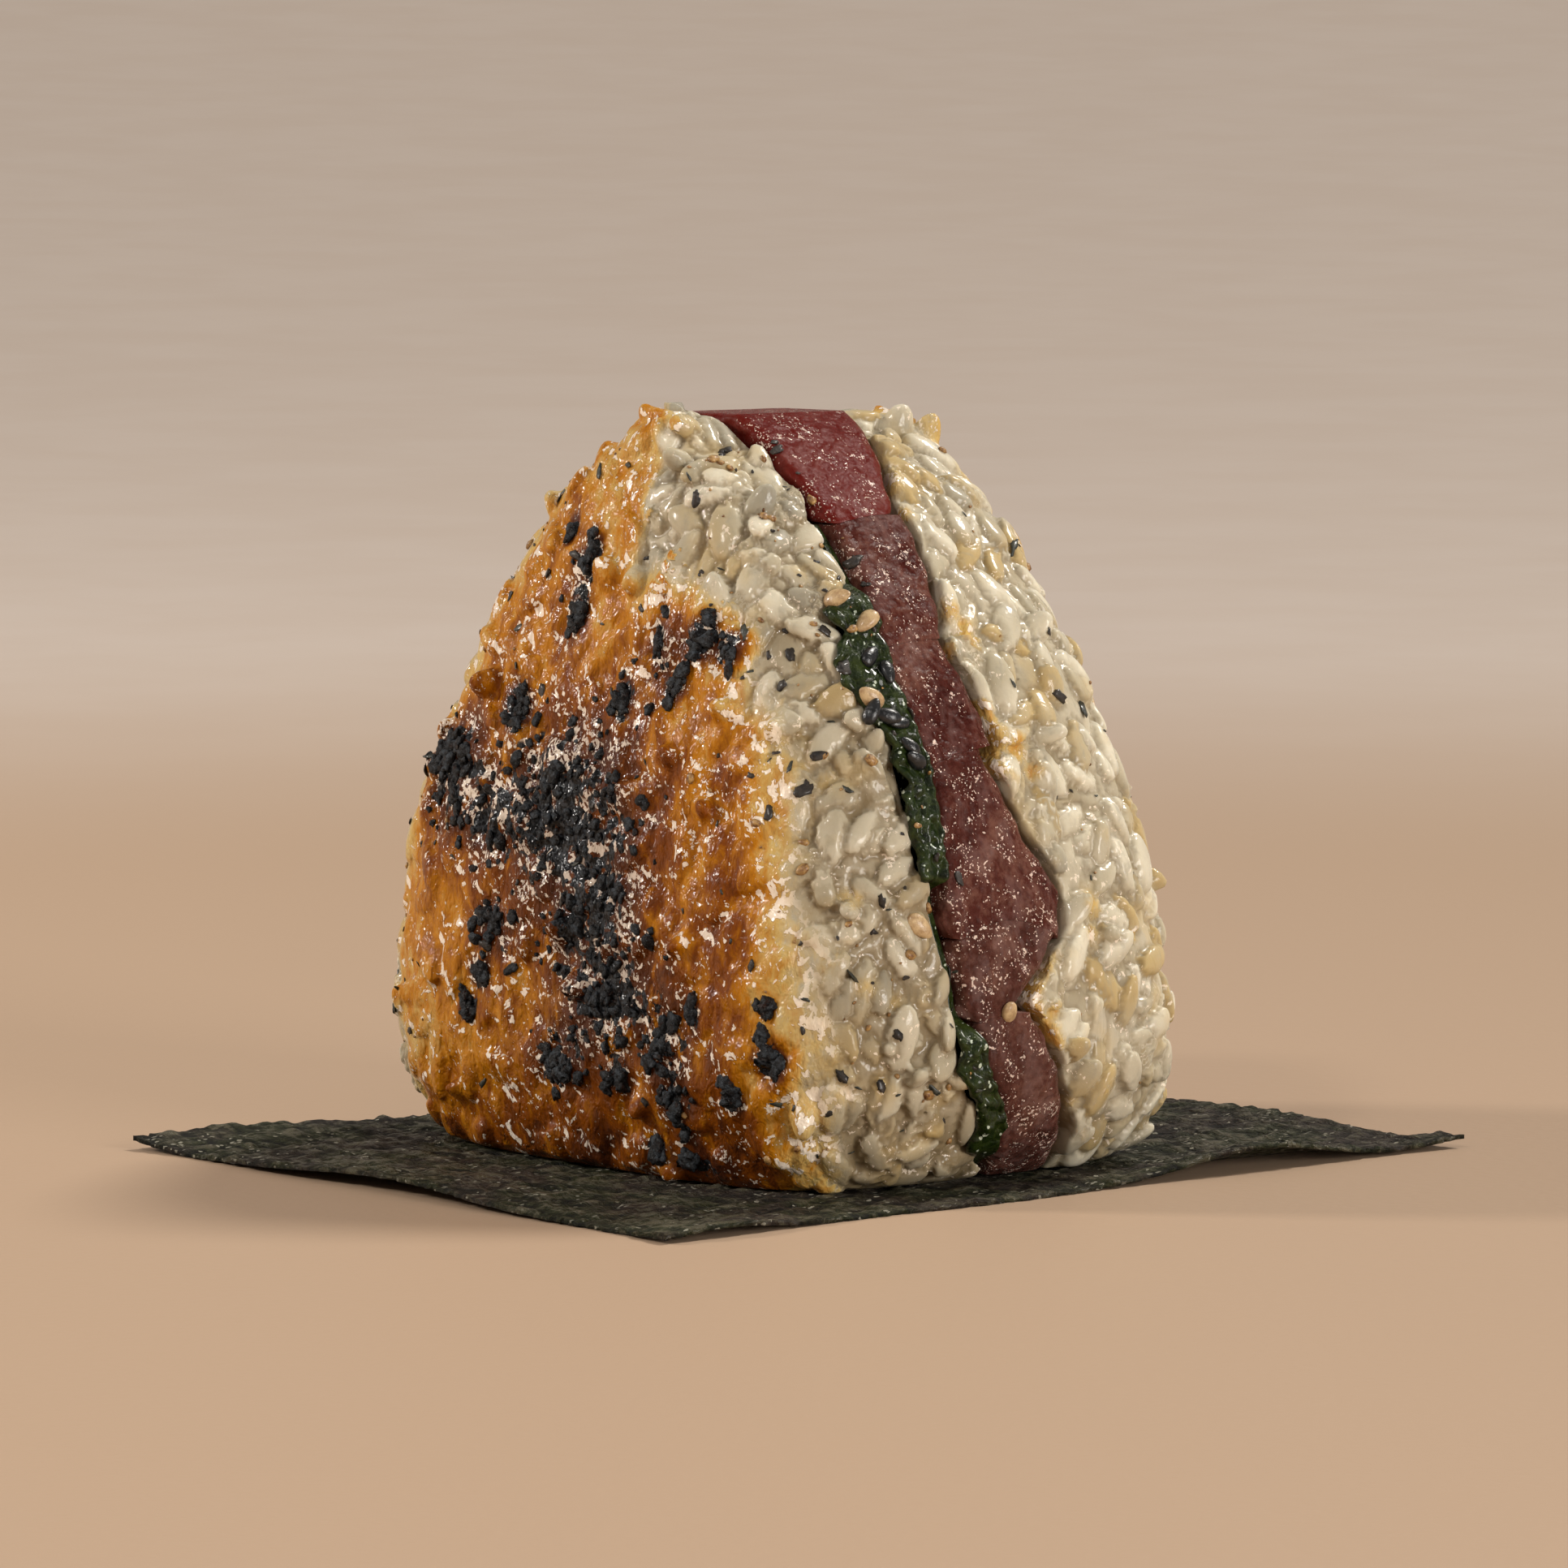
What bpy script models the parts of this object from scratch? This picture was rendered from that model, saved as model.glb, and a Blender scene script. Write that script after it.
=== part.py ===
"""Grilled tuna onigiri: a rounded triangular rice ball on a sheet of nori.

Two halves of packed rice hold six slices of tuna and a wrinkled green leaf between them, and the layers
show down both narrow sides. +X runs along the triangle's base, -Y is the grilled face, and the origin is
the middle of the nori's underside. Lengths are metres.
"""

import math
import random

import bmesh
import bpy
from mathutils import Matrix, Vector, noise

MM = 0.001
GAP = 0.3 * MM

# Rice ball, measured over its grains
BALL_HEIGHT = 78.0 * MM
BALL_HALF_WIDTH = 41.4 * MM
BALL_HALF_DEPTH = 28.0 * MM
BASE_HALF_WIDTH = 33.0 * MM
BASE_HALF_DEPTH = 25.0 * MM
RIDGE_HALF_DEPTH = 16.0 * MM
WIDEST_HEIGHT = 14.0 * MM
SQUARENESS = 4.0
BALL_RINGS = 15
BALL_SEGMENTS = 36
BALL_SHIFT = (0.3 * MM, -3.2 * MM)
UNEVEN_DEPTH = 0.8 * MM
UNEVEN_LENGTH = 19.0 * MM
PRESSED_DEPTH = 0.6 * MM
PRESSED_LENGTH = 6.5 * MM

# Rice grains, and what is stuck to them
GRAIN_LENGTH = 6.8 * MM
GRAIN_WIDTH = 3.6 * MM
GRAIN_RISE = 1.9 * MM
CORE_INSET_SIDE = 1.5 * MM
CORE_INSET_FACE = 0.3 * MM
GRAIN_SPACING = 5.2 * MM
CHAR_RISE = 1.2 * MM
CHAR_DEPTH = 3.0 * MM
CHAR_LENGTH = 5.2 * MM
CHAR_SPACING = 7.5 * MM
CHAR_COUNTS = {-1: 22, 1: 10}
SEED_LENGTH = 3.1 * MM
SEED_WIDTH = 1.9 * MM

# Sesame seeds: side of the ball, depth y and height
FRONT_SEEDS = ((1, -16.0, 57.5), (1, -13.5, 61.0), (1, -14.5, 26.0), (-1, -15.0, 46.0), (-1, -16.0, 20.0))
BACK_SEEDS = ((1, 12.0, 34.0), (-1, 12.0, 52.0))

# The seam between the halves: height, depth y of the tuna's front, room for the leaf before it
SEAM = (
    (0.0, -0.3, 1.5),
    (5.0, -2.6, 3.0),
    (14.0, -6.9, 3.0),
    (19.0, -8.9, 1.5),
    (29.0, -10.2, 1.5),
    (33.0, -9.2, 3.2),
    (44.0, -8.8, 3.2),
    (52.0, -9.4, 4.2),
    (57.0, -8.9, 3.6),
    (61.0, -8.2, 1.5),
    (66.0, -8.4, 1.4),
    (69.0, -9.0, 0.3),
    (78.0, -9.6, 0.3),
)
LEAF_THICKNESS = 0.6 * MM
LEAF_TOP = 66.0 * MM
LEAF_ROWS = 27
LEAF_COLUMNS = 8
LEAF_PROUD = 0.7 * MM
LEAF_SUNK = -1.6 * MM
LEAF_WRINKLE = 7.6 * MM

# Tuna slices from the foot up: bottom, top, back edge at the bottom, back edge at the top, end inset
TUNA_SLICES = (
    (0.0, 17.0, 9.0, 0.5, 0.6),
    (17.0, 25.5, -3.0, 3.5, 1.2),
    (25.5, 43.0, 7.2, -0.5, 0.2),
    (43.0, 54.0, 1.4, -1.0, 0.7),
    (54.0, 66.0, -0.6, 2.2, 0.4),
    (66.0, 76.6, 0.6, 6.5, 0.4),
)
TUNA_CORNER = 1.2 * MM
TUNA_END_RINGS = ((3.4, 0.0), (1.2, 0.3), (0.25, 1.2), (-0.2, 2.8))

# Nori sheet
NORI_WIDTH = 89.0 * MM
NORI_LENGTH = 108.0 * MM
NORI_THICKNESS = 0.6 * MM
NORI_COLUMNS = 13
NORI_ROWS = 15
NORI_FLAT_WIDTH = 34.0 * MM
NORI_FLAT_LENGTH = 30.0 * MM
NORI_EDGE_WAVER = 0.7 * MM

BALL_FLOOR = NORI_THICKNESS + GAP
GRAIN_LOWEST = 3.0 * MM
GRAIN_CLEAR = 1.4 * MM
REACH = 120.0 * MM


def material(name, colour, roughness):
    """A plain Principled material of one colour."""
    made = bpy.data.materials.new(name)
    made.use_nodes = True
    shader = made.node_tree.nodes["Principled BSDF"]
    shader.inputs["Base Color"].default_value = (*colour, 1.0)
    shader.inputs["Roughness"].default_value = roughness
    shader.inputs["Metallic"].default_value = 0.0
    return made


def clear_scene():
    """Removes what the scene holds at the start."""
    for obj in list(bpy.data.objects):
        bpy.data.objects.remove(obj)


def new_collection(name):
    """A collection linked to the scene."""
    made = bpy.data.collections.new(name)
    bpy.context.scene.collection.children.link(made)
    return made


def object_from(bm, name, collection):
    """An object in the collection that holds the bmesh, which is freed."""
    mesh = bpy.data.meshes.new(name)
    bm.to_mesh(mesh)
    bm.free()
    made = bpy.data.objects.new(name, mesh)
    collection.objects.link(made)
    return made


def smooth_share(value):
    """0 below 0, 1 above 1, and an even S between."""
    value = min(1.0, max(0.0, value))
    return value * value * (3 - 2 * value)


def ball_half_width(height):
    """Half the triangle's width at a height over the ball's base."""
    if height < WIDEST_HEIGHT:
        share = 1 - (1 - height / WIDEST_HEIGHT) ** 2
        return BASE_HALF_WIDTH + (BALL_HALF_WIDTH - BASE_HALF_WIDTH) * share ** 0.8
    share = (height - WIDEST_HEIGHT) / (BALL_HEIGHT - WIDEST_HEIGHT)
    return BALL_HALF_WIDTH * (1 - share ** 1.7) ** (1 / 1.6)


def ball_half_depth(height):
    """Half the ball's thickness at a height over its base."""
    if height < WIDEST_HEIGHT:
        share = 1 - (1 - height / WIDEST_HEIGHT) ** 2
        return BASE_HALF_DEPTH + (BALL_HALF_DEPTH - BASE_HALF_DEPTH) * share ** 0.8
    share = (height - WIDEST_HEIGHT) / (BALL_HEIGHT - WIDEST_HEIGHT)
    return RIDGE_HALF_DEPTH + (BALL_HALF_DEPTH - RIDGE_HALF_DEPTH) * (1 - share ** 2)


def side_reach(y, height):
    """How far out the ball's narrow side is, at a depth y and a height."""
    share = min(1.0, abs(y) / ball_half_depth(height))
    return ball_half_width(height) * (1 - share ** SQUARENESS) ** (1 / SQUARENESS)


def ball_ring(height):
    """The rounded-square outline of the ball's core at one height, inside its grains."""
    across = ball_half_width(height)
    deep = ball_half_depth(height)
    power = 2 / SQUARENESS
    ring = []
    for step in range(BALL_SEGMENTS):
        turn = 2 * math.pi * (step + 0.5) / BALL_SEGMENTS
        x = math.copysign(abs(math.cos(turn)) ** power, math.cos(turn))
        y = math.copysign(abs(math.sin(turn)) ** power, math.sin(turn))
        facing = abs(x) ** 3 * deep / math.hypot(abs(x) ** 3 * deep, abs(y) ** 3 * across)
        inset = CORE_INSET_FACE + (CORE_INSET_SIDE - CORE_INSET_FACE) * smooth_share(2.5 * facing - 1.2)
        point = Vector((x * max(0.6 * MM, across - inset), y * (deep - inset), height))
        swell = (noise.noise(point / UNEVEN_LENGTH) + 0.2) * UNEVEN_DEPTH
        swell += noise.noise(point / PRESSED_LENGTH) * PRESSED_DEPTH
        outward = Vector((point.x, point.y, 0)).normalized()
        ring.append(point + outward * swell)
    return ring


def ball_core():
    """The whole ball's core as a loft of rings, closed at its base and ridge."""
    bm = bmesh.new()
    rings = []
    for step in range(BALL_RINGS):
        rise = (1 - math.cos(math.pi * step / BALL_RINGS)) / 2
        drop = Vector((0, 0, CORE_INSET_SIDE * rise))
        rings.append([bm.verts.new(point - drop) for point in ball_ring(BALL_HEIGHT * rise)])
    for lower, upper in zip(rings, rings[1:]):
        for step in range(BALL_SEGMENTS):
            after = (step + 1) % BALL_SEGMENTS
            bm.faces.new((lower[step], lower[after], upper[after], upper[step]))
    bm.faces.new(list(reversed(rings[0])))
    bm.faces.new(rings[-1])
    bmesh.ops.recalc_face_normals(bm, faces=bm.faces)
    return bm


def seam_at(height):
    """The depth y of the tuna's front, and the room before it, at a height."""
    for (low, y_low, room_low), (high, y_high, room_high) in zip(SEAM, SEAM[1:]):
        if height <= high * MM:
            break
    share = min(1.0, max(0.0, (height / MM - low) / (high - low)))
    share = smooth_share(share)
    return (y_low + (y_high - y_low) * share) * MM, (room_low + (room_high - room_low) * share) * MM


def apply_modifiers(obj):
    """Gives the object its evaluated mesh, and clears its modifiers."""
    graph = bpy.context.evaluated_depsgraph_get()
    mesh = bpy.data.meshes.new_from_object(obj.evaluated_get(graph))
    obj.modifiers.clear()
    obj.data = mesh


def boolean(obj, other, operation):
    """Applies one Boolean with an object, or with a whole collection."""
    modifier = obj.modifiers.new(operation.title(), "BOOLEAN")
    modifier.operation = operation
    modifier.solver = "MANIFOLD"
    if isinstance(other, bpy.types.Collection):
        modifier.operand_type = "COLLECTION"
        modifier.collection = other
    else:
        modifier.object = other
    apply_modifiers(obj)


def keep_main_body(obj):
    """Drops loose scraps and sealed hollows, so that one closed body is left."""
    bm = bmesh.new()
    bm.from_mesh(obj.data)
    bmesh.ops.triangulate(bm, faces=bm.faces)
    unseen = set(bm.verts)
    groups = []
    while unseen:
        group = {unseen.pop()}
        edge_of_group = list(group)
        while edge_of_group:
            vert = edge_of_group.pop()
            for edge in vert.link_edges:
                other = edge.other_vert(vert)
                if other in unseen:
                    unseen.discard(other)
                    group.add(other)
                    edge_of_group.append(other)
        groups.append(group)
    groups.sort(key=len, reverse=True)
    loose = [vert for group in groups[1:] for vert in group]
    bmesh.ops.delete(bm, geom=loose, context="VERTS")
    bm.to_mesh(obj.data)
    bm.free()


def hide_cutter(obj):
    """Marks a cutter, which isn't part of the food."""
    obj.hide_render = True
    obj.display_type = "WIRE"


def side_prism(outline, name, collection, reach=REACH):
    """A closed outline in the Y-Z plane, drawn out along X both ways."""
    bm = bmesh.new()
    verts = [bm.verts.new((-reach, y, z)) for y, z in outline]
    face = bm.faces.new(verts)
    drawn = bmesh.ops.extrude_face_region(bm, geom=[face])
    moved = [item for item in drawn["geom"] if isinstance(item, bmesh.types.BMVert)]
    bmesh.ops.translate(bm, verts=moved, vec=(2 * reach, 0, 0))
    bmesh.ops.recalc_face_normals(bm, faces=bm.faces)
    return object_from(bm, name, collection)


def blob(length, width, height, rough, sides, rng):
    """A small ellipsoid with few sides, its poles at its ends and its points moved a little."""
    bm = bmesh.new()
    bmesh.ops.create_uvsphere(bm, u_segments=sides, v_segments=4, radius=0.5)
    for vert in bm.verts:
        shake = Vector([rng.uniform(-rough, rough) for _ in range(3)])
        vert.co = Vector((vert.co.z, vert.co.x, vert.co.y)) + shake
    bmesh.ops.scale(bm, vec=(length, width, height), verts=bm.verts)
    bmesh.ops.recalc_face_normals(bm, faces=bm.faces)
    return bm


def stuck_at(point, normal, turn, sink):
    """The matrix that lays a piece's length along the surface, sunk below it."""
    upright = normal.to_track_quat("Z", "Y").to_matrix().to_4x4()
    spin = Matrix.Rotation(turn, 4, "Z")
    return Matrix.Translation(point - normal * sink) @ upright @ spin


def on_glazed_face(normal):
    """True on the two broad faces, which are glazed and pressed smoother."""
    return abs(normal.y) > 0.8


def surface_spots(bm, spacing, wanted, rng):
    """Points spread over the bmesh's faces, no two closer than the spacing."""
    faces = list(bm.faces)
    total = sum(face.calc_area() for face in faces)
    weights = [face.calc_area() / total for face in faces]
    spots = []
    for face in rng.choices(faces, weights=weights, k=9000):
        corners = [vert.co for vert in face.verts]
        if len(corners) > 4:
            continue
        across, up = rng.random(), rng.random()
        low = corners[0].lerp(corners[1], across)
        high = corners[3].lerp(corners[2], across)
        point = low.lerp(high, up)
        normal = face.normal.copy()
        if not wanted(point, normal):
            continue
        if all((point - other).length > spacing for other, _ in spots):
            spots.append((point, normal))
    return spots


def add_grains(spots, rng, collection):
    """One grain at each spot, each turned its own way."""
    for index, (point, normal) in enumerate(spots):
        scale = rng.uniform(0.88, 1.1)
        bm = blob(GRAIN_LENGTH * scale, GRAIN_WIDTH * scale, GRAIN_WIDTH * 0.9, 0.05, 5, rng)
        sink = GRAIN_WIDTH * 0.45 - GRAIN_RISE
        bm.transform(stuck_at(point, normal, rng.uniform(0, math.pi), sink))
        object_from(bm, f"grain_{index}", collection)


def add_char(bm_ball, side, count, rng, collection):
    """Burnt crags on one broad face: side is -1 for the front and 1 for the back."""

    def in_char(point, normal):
        return normal.y * side > 0.85 and abs(point.z - 33 * MM) < 27 * MM and abs(point.x) < 24 * MM

    spots = surface_spots(bm_ball, CHAR_SPACING, in_char, rng)[:count]
    for index, (point, normal) in enumerate(spots):
        size = rng.uniform(0.75, 1.35) * CHAR_LENGTH
        bm = blob(size, size * 0.6, CHAR_DEPTH, 0.09, 6, rng)
        bm.transform(stuck_at(point, normal, rng.uniform(1.0, 2.1), CHAR_DEPTH / 2 - CHAR_RISE))
        object_from(bm, f"char_{index}", collection)


def add_seeds(places, rng, collection):
    """Sesame seeds on the narrow sides: each place is a side, a depth y and a height."""
    for index, (side, y, height) in enumerate(places):
        depth, rise = y * MM, height * MM
        point = Vector((side * side_reach(depth, rise), depth, rise))
        slope = (side_reach(depth, rise - MM) - side_reach(depth, rise + MM)) / (2 * MM)
        normal = Vector((side, 0, slope)).normalized()
        bm = blob(SEED_LENGTH, SEED_WIDTH, SEED_WIDTH, 0.03, 6, rng)
        bm.transform(stuck_at(point, normal, rng.uniform(0, math.pi), 0.4 * MM))
        object_from(bm, f"seed_{index}", collection)


def rice_half(name, room, belongs, face_side, seeds, parts, seed):
    """Half of the ball: its core with grains, burnt crags and seeds joined on."""
    rng = random.Random(seed)
    loose = new_collection(name + "_pieces")
    bm = ball_core()
    add_grains(surface_spots(bm, GRAIN_SPACING, belongs, rng), rng, loose)
    add_char(bm, face_side, CHAR_COUNTS[face_side], rng, loose)
    bm.free()
    add_seeds(seeds, rng, loose)
    half = object_from(ball_core(), name, parts)
    boolean(half, loose, "UNION")
    for obj in list(loose.objects):
        bpy.data.objects.remove(obj)
    bpy.data.collections.remove(loose)
    boolean(half, room, "INTERSECT")
    keep_main_body(half)
    return half


def seam_outline(low, high, steps, with_room):
    """Points up the seam: along the tuna's front, or in front of the leaf's room."""
    points = []
    for step in range(steps + 1):
        height = low + (high - low) * step / steps
        y, room = seam_at(height)
        points.append((y - room if with_room else y, height))
    return points


def back_outline():
    """The toothed front of the back half, one gap behind the tuna slices."""
    points = []
    for index, (low, high, back_low, back_high, _) in enumerate(TUNA_SLICES):
        under = TUNA_SLICES[index - 1][3] if index else back_low
        over = TUNA_SLICES[index + 1][2] if index + 1 < len(TUNA_SLICES) else back_high
        ledge_low = math.copysign(GAP / 2, under - back_low) if index else 0.0
        ledge_high = math.copysign(GAP / 2, back_high - over) if over != back_high else 0.0
        points.append((back_low * MM + GAP, low * MM + ledge_low))
        points.append((back_high * MM + GAP, high * MM + ledge_high))
    return points


def tuna_outline(row):
    """The Y-Z outline of one slice, with its corners taken off."""
    bottom, top, back_low, back_high = (value * MM for value in row[:4])
    low = bottom + GAP / 2
    high = top - GAP / 2
    corner = TUNA_CORNER

    def back_at(height):
        return back_low + (back_high - back_low) * (height - bottom) / (top - bottom)

    front = seam_outline(low + corner, high - corner, 3, False)
    middle = (low + high) / 2
    return [
        (front[0][0] + corner, low),
        ((front[0][0] + back_at(low)) / 2, low),
        (back_at(low) - corner, low),
        (back_at(low + corner), low + corner),
        (back_at(middle), middle),
        (back_at(high - corner), high - corner),
        (back_at(high) - corner, high),
        ((front[-1][0] + back_at(high)) / 2, high),
        (front[-1][0] + corner, high),
        *reversed(front),
    ]


def tuna_slice(index, row, parts):
    """One slice of tuna from side to side: a loft along X with rounded ends."""
    outline = tuna_outline(row)
    middle_y = sum(y for y, _ in outline) / len(outline)
    middle_z = sum(z for _, z in outline) / len(outline)
    bm = bmesh.new()
    rings = []
    ends = [(-1, *ring) for ring in reversed(TUNA_END_RINGS)] + [(1, *ring) for ring in TUNA_END_RINGS]
    for side, back_off, shrink in ends:
        ring = []
        for y, z in outline:
            inward = Vector((middle_y - y, middle_z - z))
            inward *= min(0.9, shrink * MM / inward.length)
            y_in, z_in = y + inward.x, z + inward.y
            reach = side_reach(y_in, z_in) - (row[4] + back_off) * MM
            ring.append(bm.verts.new((side * max(0.6 * MM, reach), y_in, z_in)))
        rings.append(ring)
    for lower, upper in zip(rings, rings[1:]):
        for step in range(len(outline)):
            after = (step + 1) % len(outline)
            bm.faces.new((lower[step], lower[after], upper[after], upper[step]))
    bm.faces.new(list(reversed(rings[0])))
    bm.faces.new(rings[-1])
    bmesh.ops.triangulate(bm, faces=bm.faces)
    bmesh.ops.recalc_face_normals(bm, faces=bm.faces)
    return object_from(bm, f"tuna_slice_{index}", parts)


def leaf_shows(height):
    """How much of the leaf stands out between the layers at a height, 0 to 1."""
    _, room = seam_at(height)
    return smooth_share((room / MM - 1.5) / 1.5)


def leaf():
    """The wrinkled leaf between the front rice and the tuna."""
    bm = bmesh.new()
    low, high = 0.8 * MM, LEAF_TOP
    rows = []
    for row in range(LEAF_ROWS + 1):
        height = low + (high - low) * row / LEAF_ROWS
        y, room = seam_at(height)
        middle = y - room / 2
        shows = leaf_shows(height)
        swing = room / 2 - GAP - LEAF_THICKNESS * 0.7
        line = []
        for column in range(LEAF_COLUMNS + 1):
            across = 2 * column / LEAF_COLUMNS - 1
            spread = math.copysign(abs(across) ** 0.5, across)
            ripple = 0.35 * MM * math.sin(height / (1.3 * MM) + 2 * across) * shows
            reach = side_reach(middle, height) + LEAF_SUNK + (LEAF_PROUD - LEAF_SUNK) * shows + ripple
            turn = 2 * math.pi * height / LEAF_WRINKLE + 1.5 * across
            crumple = math.sin(turn) * abs(across) ** 3
            line.append(bm.verts.new((spread * max(2 * MM, reach), middle + swing * crumple, height)))
        rows.append(line)
    for lower, upper in zip(rows, rows[1:]):
        for column in range(LEAF_COLUMNS):
            bm.faces.new((lower[column], lower[column + 1], upper[column + 1], upper[column]))
    bmesh.ops.triangulate(bm, faces=bm.faces)
    return bm


def bump(value, middle, width):
    """A smooth hump of height 1 at the middle."""
    return math.exp(-((value - middle) / width) ** 2)


def nori_lift(x, y):
    """How far the sheet stands off the plate: flat under the ball, waving at its edges."""
    over_x = max(0.0, abs(x) - NORI_FLAT_WIDTH) / (NORI_WIDTH / 2 - NORI_FLAT_WIDTH)
    over_y = max(0.0, abs(y) - NORI_FLAT_LENGTH) / (NORI_LENGTH / 2 - NORI_FLAT_LENGTH)
    along_x, along_y = x / MM, y / MM
    front = (1.4 * bump(along_x, -2, 20) + 0.8 * bump(along_x, -46, 6)) * (y < 0)
    back = (0.7 * bump(along_x, 12, 16) + 0.6 * bump(along_x, -34, 12)) * (y > 0)
    right = (2.4 * bump(along_y, 25, 13) + 0.9 * bump(along_y, -46, 8) + bump(along_y, 56, 8)) * (x > 0)
    left = (0.8 * bump(along_y, -38, 13) + 0.7 * bump(along_y, 24, 14)) * (x < 0)
    return (smooth_share(over_y) * (front + back) + smooth_share(over_x) * (right + left)) * MM


def nori():
    """The nori's underside as a grid of triangles, with slightly uneven edges."""
    bm = bmesh.new()
    rows = []
    for row in range(NORI_ROWS + 1):
        line = []
        for column in range(NORI_COLUMNS + 1):
            across = 2 * column / NORI_COLUMNS - 1
            along = 2 * row / NORI_ROWS - 1
            edge_x = NORI_WIDTH / 2 - NORI_EDGE_WAVER * (0.5 + 0.5 * math.sin(9 * along)) * (1 - along ** 8)
            edge_y = NORI_LENGTH / 2 - NORI_EDGE_WAVER * (0.5 + 0.5 * math.cos(8 * across)) * (1 - across ** 8)
            x, y = across * edge_x, along * edge_y
            line.append(bm.verts.new((x, y, nori_lift(x, y))))
        rows.append(line)
    for lower, upper in zip(rows, rows[1:]):
        for column in range(NORI_COLUMNS):
            bm.faces.new((lower[column], lower[column + 1], upper[column + 1], upper[column]))
    bmesh.ops.triangulate(bm, faces=bm.faces)
    return bm


def thicken(obj, thickness, offset):
    """Turns an open sheet into a solid of one thickness."""
    solidify = obj.modifiers.new("Thickness", "SOLIDIFY")
    solidify.thickness = thickness
    solidify.offset = offset
    solidify.use_even_offset = False
    apply_modifiers(obj)


def build():
    """Makes every piece, in the order that they are stacked."""
    clear_scene()
    parts = new_collection("tuna_onigiri")
    cutters = new_collection("cutters")
    rice = material("rice", (0.78, 0.72, 0.58), 0.35)
    tuna = material("tuna", (0.19, 0.045, 0.04), 0.3)
    green = material("green_leaf", (0.02, 0.045, 0.015), 0.4)
    seaweed = material("nori", (0.018, 0.02, 0.012), 0.6)

    stand = bpy.data.objects.new("rice_ball_place", None)
    parts.objects.link(stand)
    stand.location = (*BALL_SHIFT, BALL_FLOOR)

    front_edge = seam_outline(0.0, BALL_HEIGHT, 26, True)
    front_top = (front_edge[-1][0], REACH)
    front_room = side_prism([(-REACH, 0.0), *front_edge, front_top, (-REACH, REACH)], "front_room", cutters)
    back_edge = back_outline()
    back_top = (back_edge[-1][0], REACH)
    back_room = side_prism([*back_edge, back_top, (REACH, REACH), (REACH, 0.0)], "back_room", cutters)
    hide_cutter(front_room)
    hide_cutter(back_room)

    def front_grain(point, normal):
        y, room = seam_at(point.z)
        return point.y < y - room - GRAIN_CLEAR and point.z > GRAIN_LOWEST and not on_glazed_face(normal)

    def back_grain(point, normal):
        row = next((row for row in TUNA_SLICES if point.z < row[1] * MM), TUNA_SLICES[-1])
        edge = max(row[2], row[3]) * MM
        return point.y > edge + GRAIN_CLEAR and point.z > GRAIN_LOWEST and not on_glazed_face(normal)

    front = rice_half("front_rice", front_room, front_grain, -1, FRONT_SEEDS, parts, 11)
    back = rice_half("back_rice", back_room, back_grain, 1, BACK_SEEDS, parts, 23)
    for half in (front, back):
        half.data.materials.append(rice)
        half.parent = stand

    for index, row in enumerate(TUNA_SLICES, start=1):
        piece = tuna_slice(index, row, parts)
        piece.data.materials.append(tuna)
        piece.parent = stand

    sheet = object_from(leaf(), "green_leaf", parts)
    thicken(sheet, LEAF_THICKNESS, 0.0)
    sheet.data.materials.append(green)
    sheet.parent = stand

    base = object_from(nori(), "nori_sheet", parts)
    thicken(base, NORI_THICKNESS, 1.0)
    base.data.materials.append(seaweed)


build()
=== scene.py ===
"""Grilled tuna onigiri on a sheet of nori: the looks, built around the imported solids.

The rice ball's own form is worked out in millimetres, over its base and about its middle, and every mesh is
moved into the part's frame in metres when it is made. +X runs along the base of the triangle, -Y is the
glazed and charred face, +Z is up.
"""

from __future__ import annotations

import logging
import math
from collections.abc import Iterable, Iterator
from dataclasses import dataclass, field
from enum import Enum
from functools import lru_cache
from itertools import pairwise, product

import bpy
import numpy as np
from mathutils import Matrix, Vector
from mathutils.bvhtree import BVHTree
from mathutils.kdtree import KDTree


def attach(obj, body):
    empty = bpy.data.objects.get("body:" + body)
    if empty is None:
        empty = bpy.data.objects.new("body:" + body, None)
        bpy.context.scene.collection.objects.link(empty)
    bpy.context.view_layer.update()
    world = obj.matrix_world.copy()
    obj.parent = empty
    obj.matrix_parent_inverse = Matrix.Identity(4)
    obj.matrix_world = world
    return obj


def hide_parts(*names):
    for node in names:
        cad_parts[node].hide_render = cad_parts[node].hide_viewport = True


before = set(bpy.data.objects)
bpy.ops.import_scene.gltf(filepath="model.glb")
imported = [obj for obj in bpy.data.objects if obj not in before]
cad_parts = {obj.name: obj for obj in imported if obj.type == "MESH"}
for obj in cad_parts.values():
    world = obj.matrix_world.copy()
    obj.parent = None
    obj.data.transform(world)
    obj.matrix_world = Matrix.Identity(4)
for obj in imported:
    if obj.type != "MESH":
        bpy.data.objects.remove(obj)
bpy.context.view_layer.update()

MM = 0.001
BODY = "root"

Colour = tuple[float, float, float]
Stretch = tuple[float, float, float]
Rows = tuple[tuple[float, ...], ...]
Found = tuple[Vector, Vector] | None
log = logging.getLogger("tuna_onigiri")


class Side(Enum):
    """The two narrow sides of the ball."""

    RIGHT = 1
    LEFT = -1


class Face(Enum):
    """The two broad faces of the ball, and so its two halves."""

    FRONT = -1
    BACK = 1


# Small helpers


_CHANCE = np.random.default_rng(2024)
LATTICE = _CHANCE.permutation(256)
SLOPES = _CHANCE.normal(size=(256, 3))
SLOPES /= np.linalg.norm(SLOPES, axis=1, keepdims=True)


def smooth(low: float, high: float, value: np.ndarray) -> np.ndarray:
    """An even S from 0 at low to 1 at high, which may be the lesser."""
    share = np.clip((value - low) / (high - low), 0.0, 1.0)
    return share * share * (3.0 - 2.0 * share)


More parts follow.
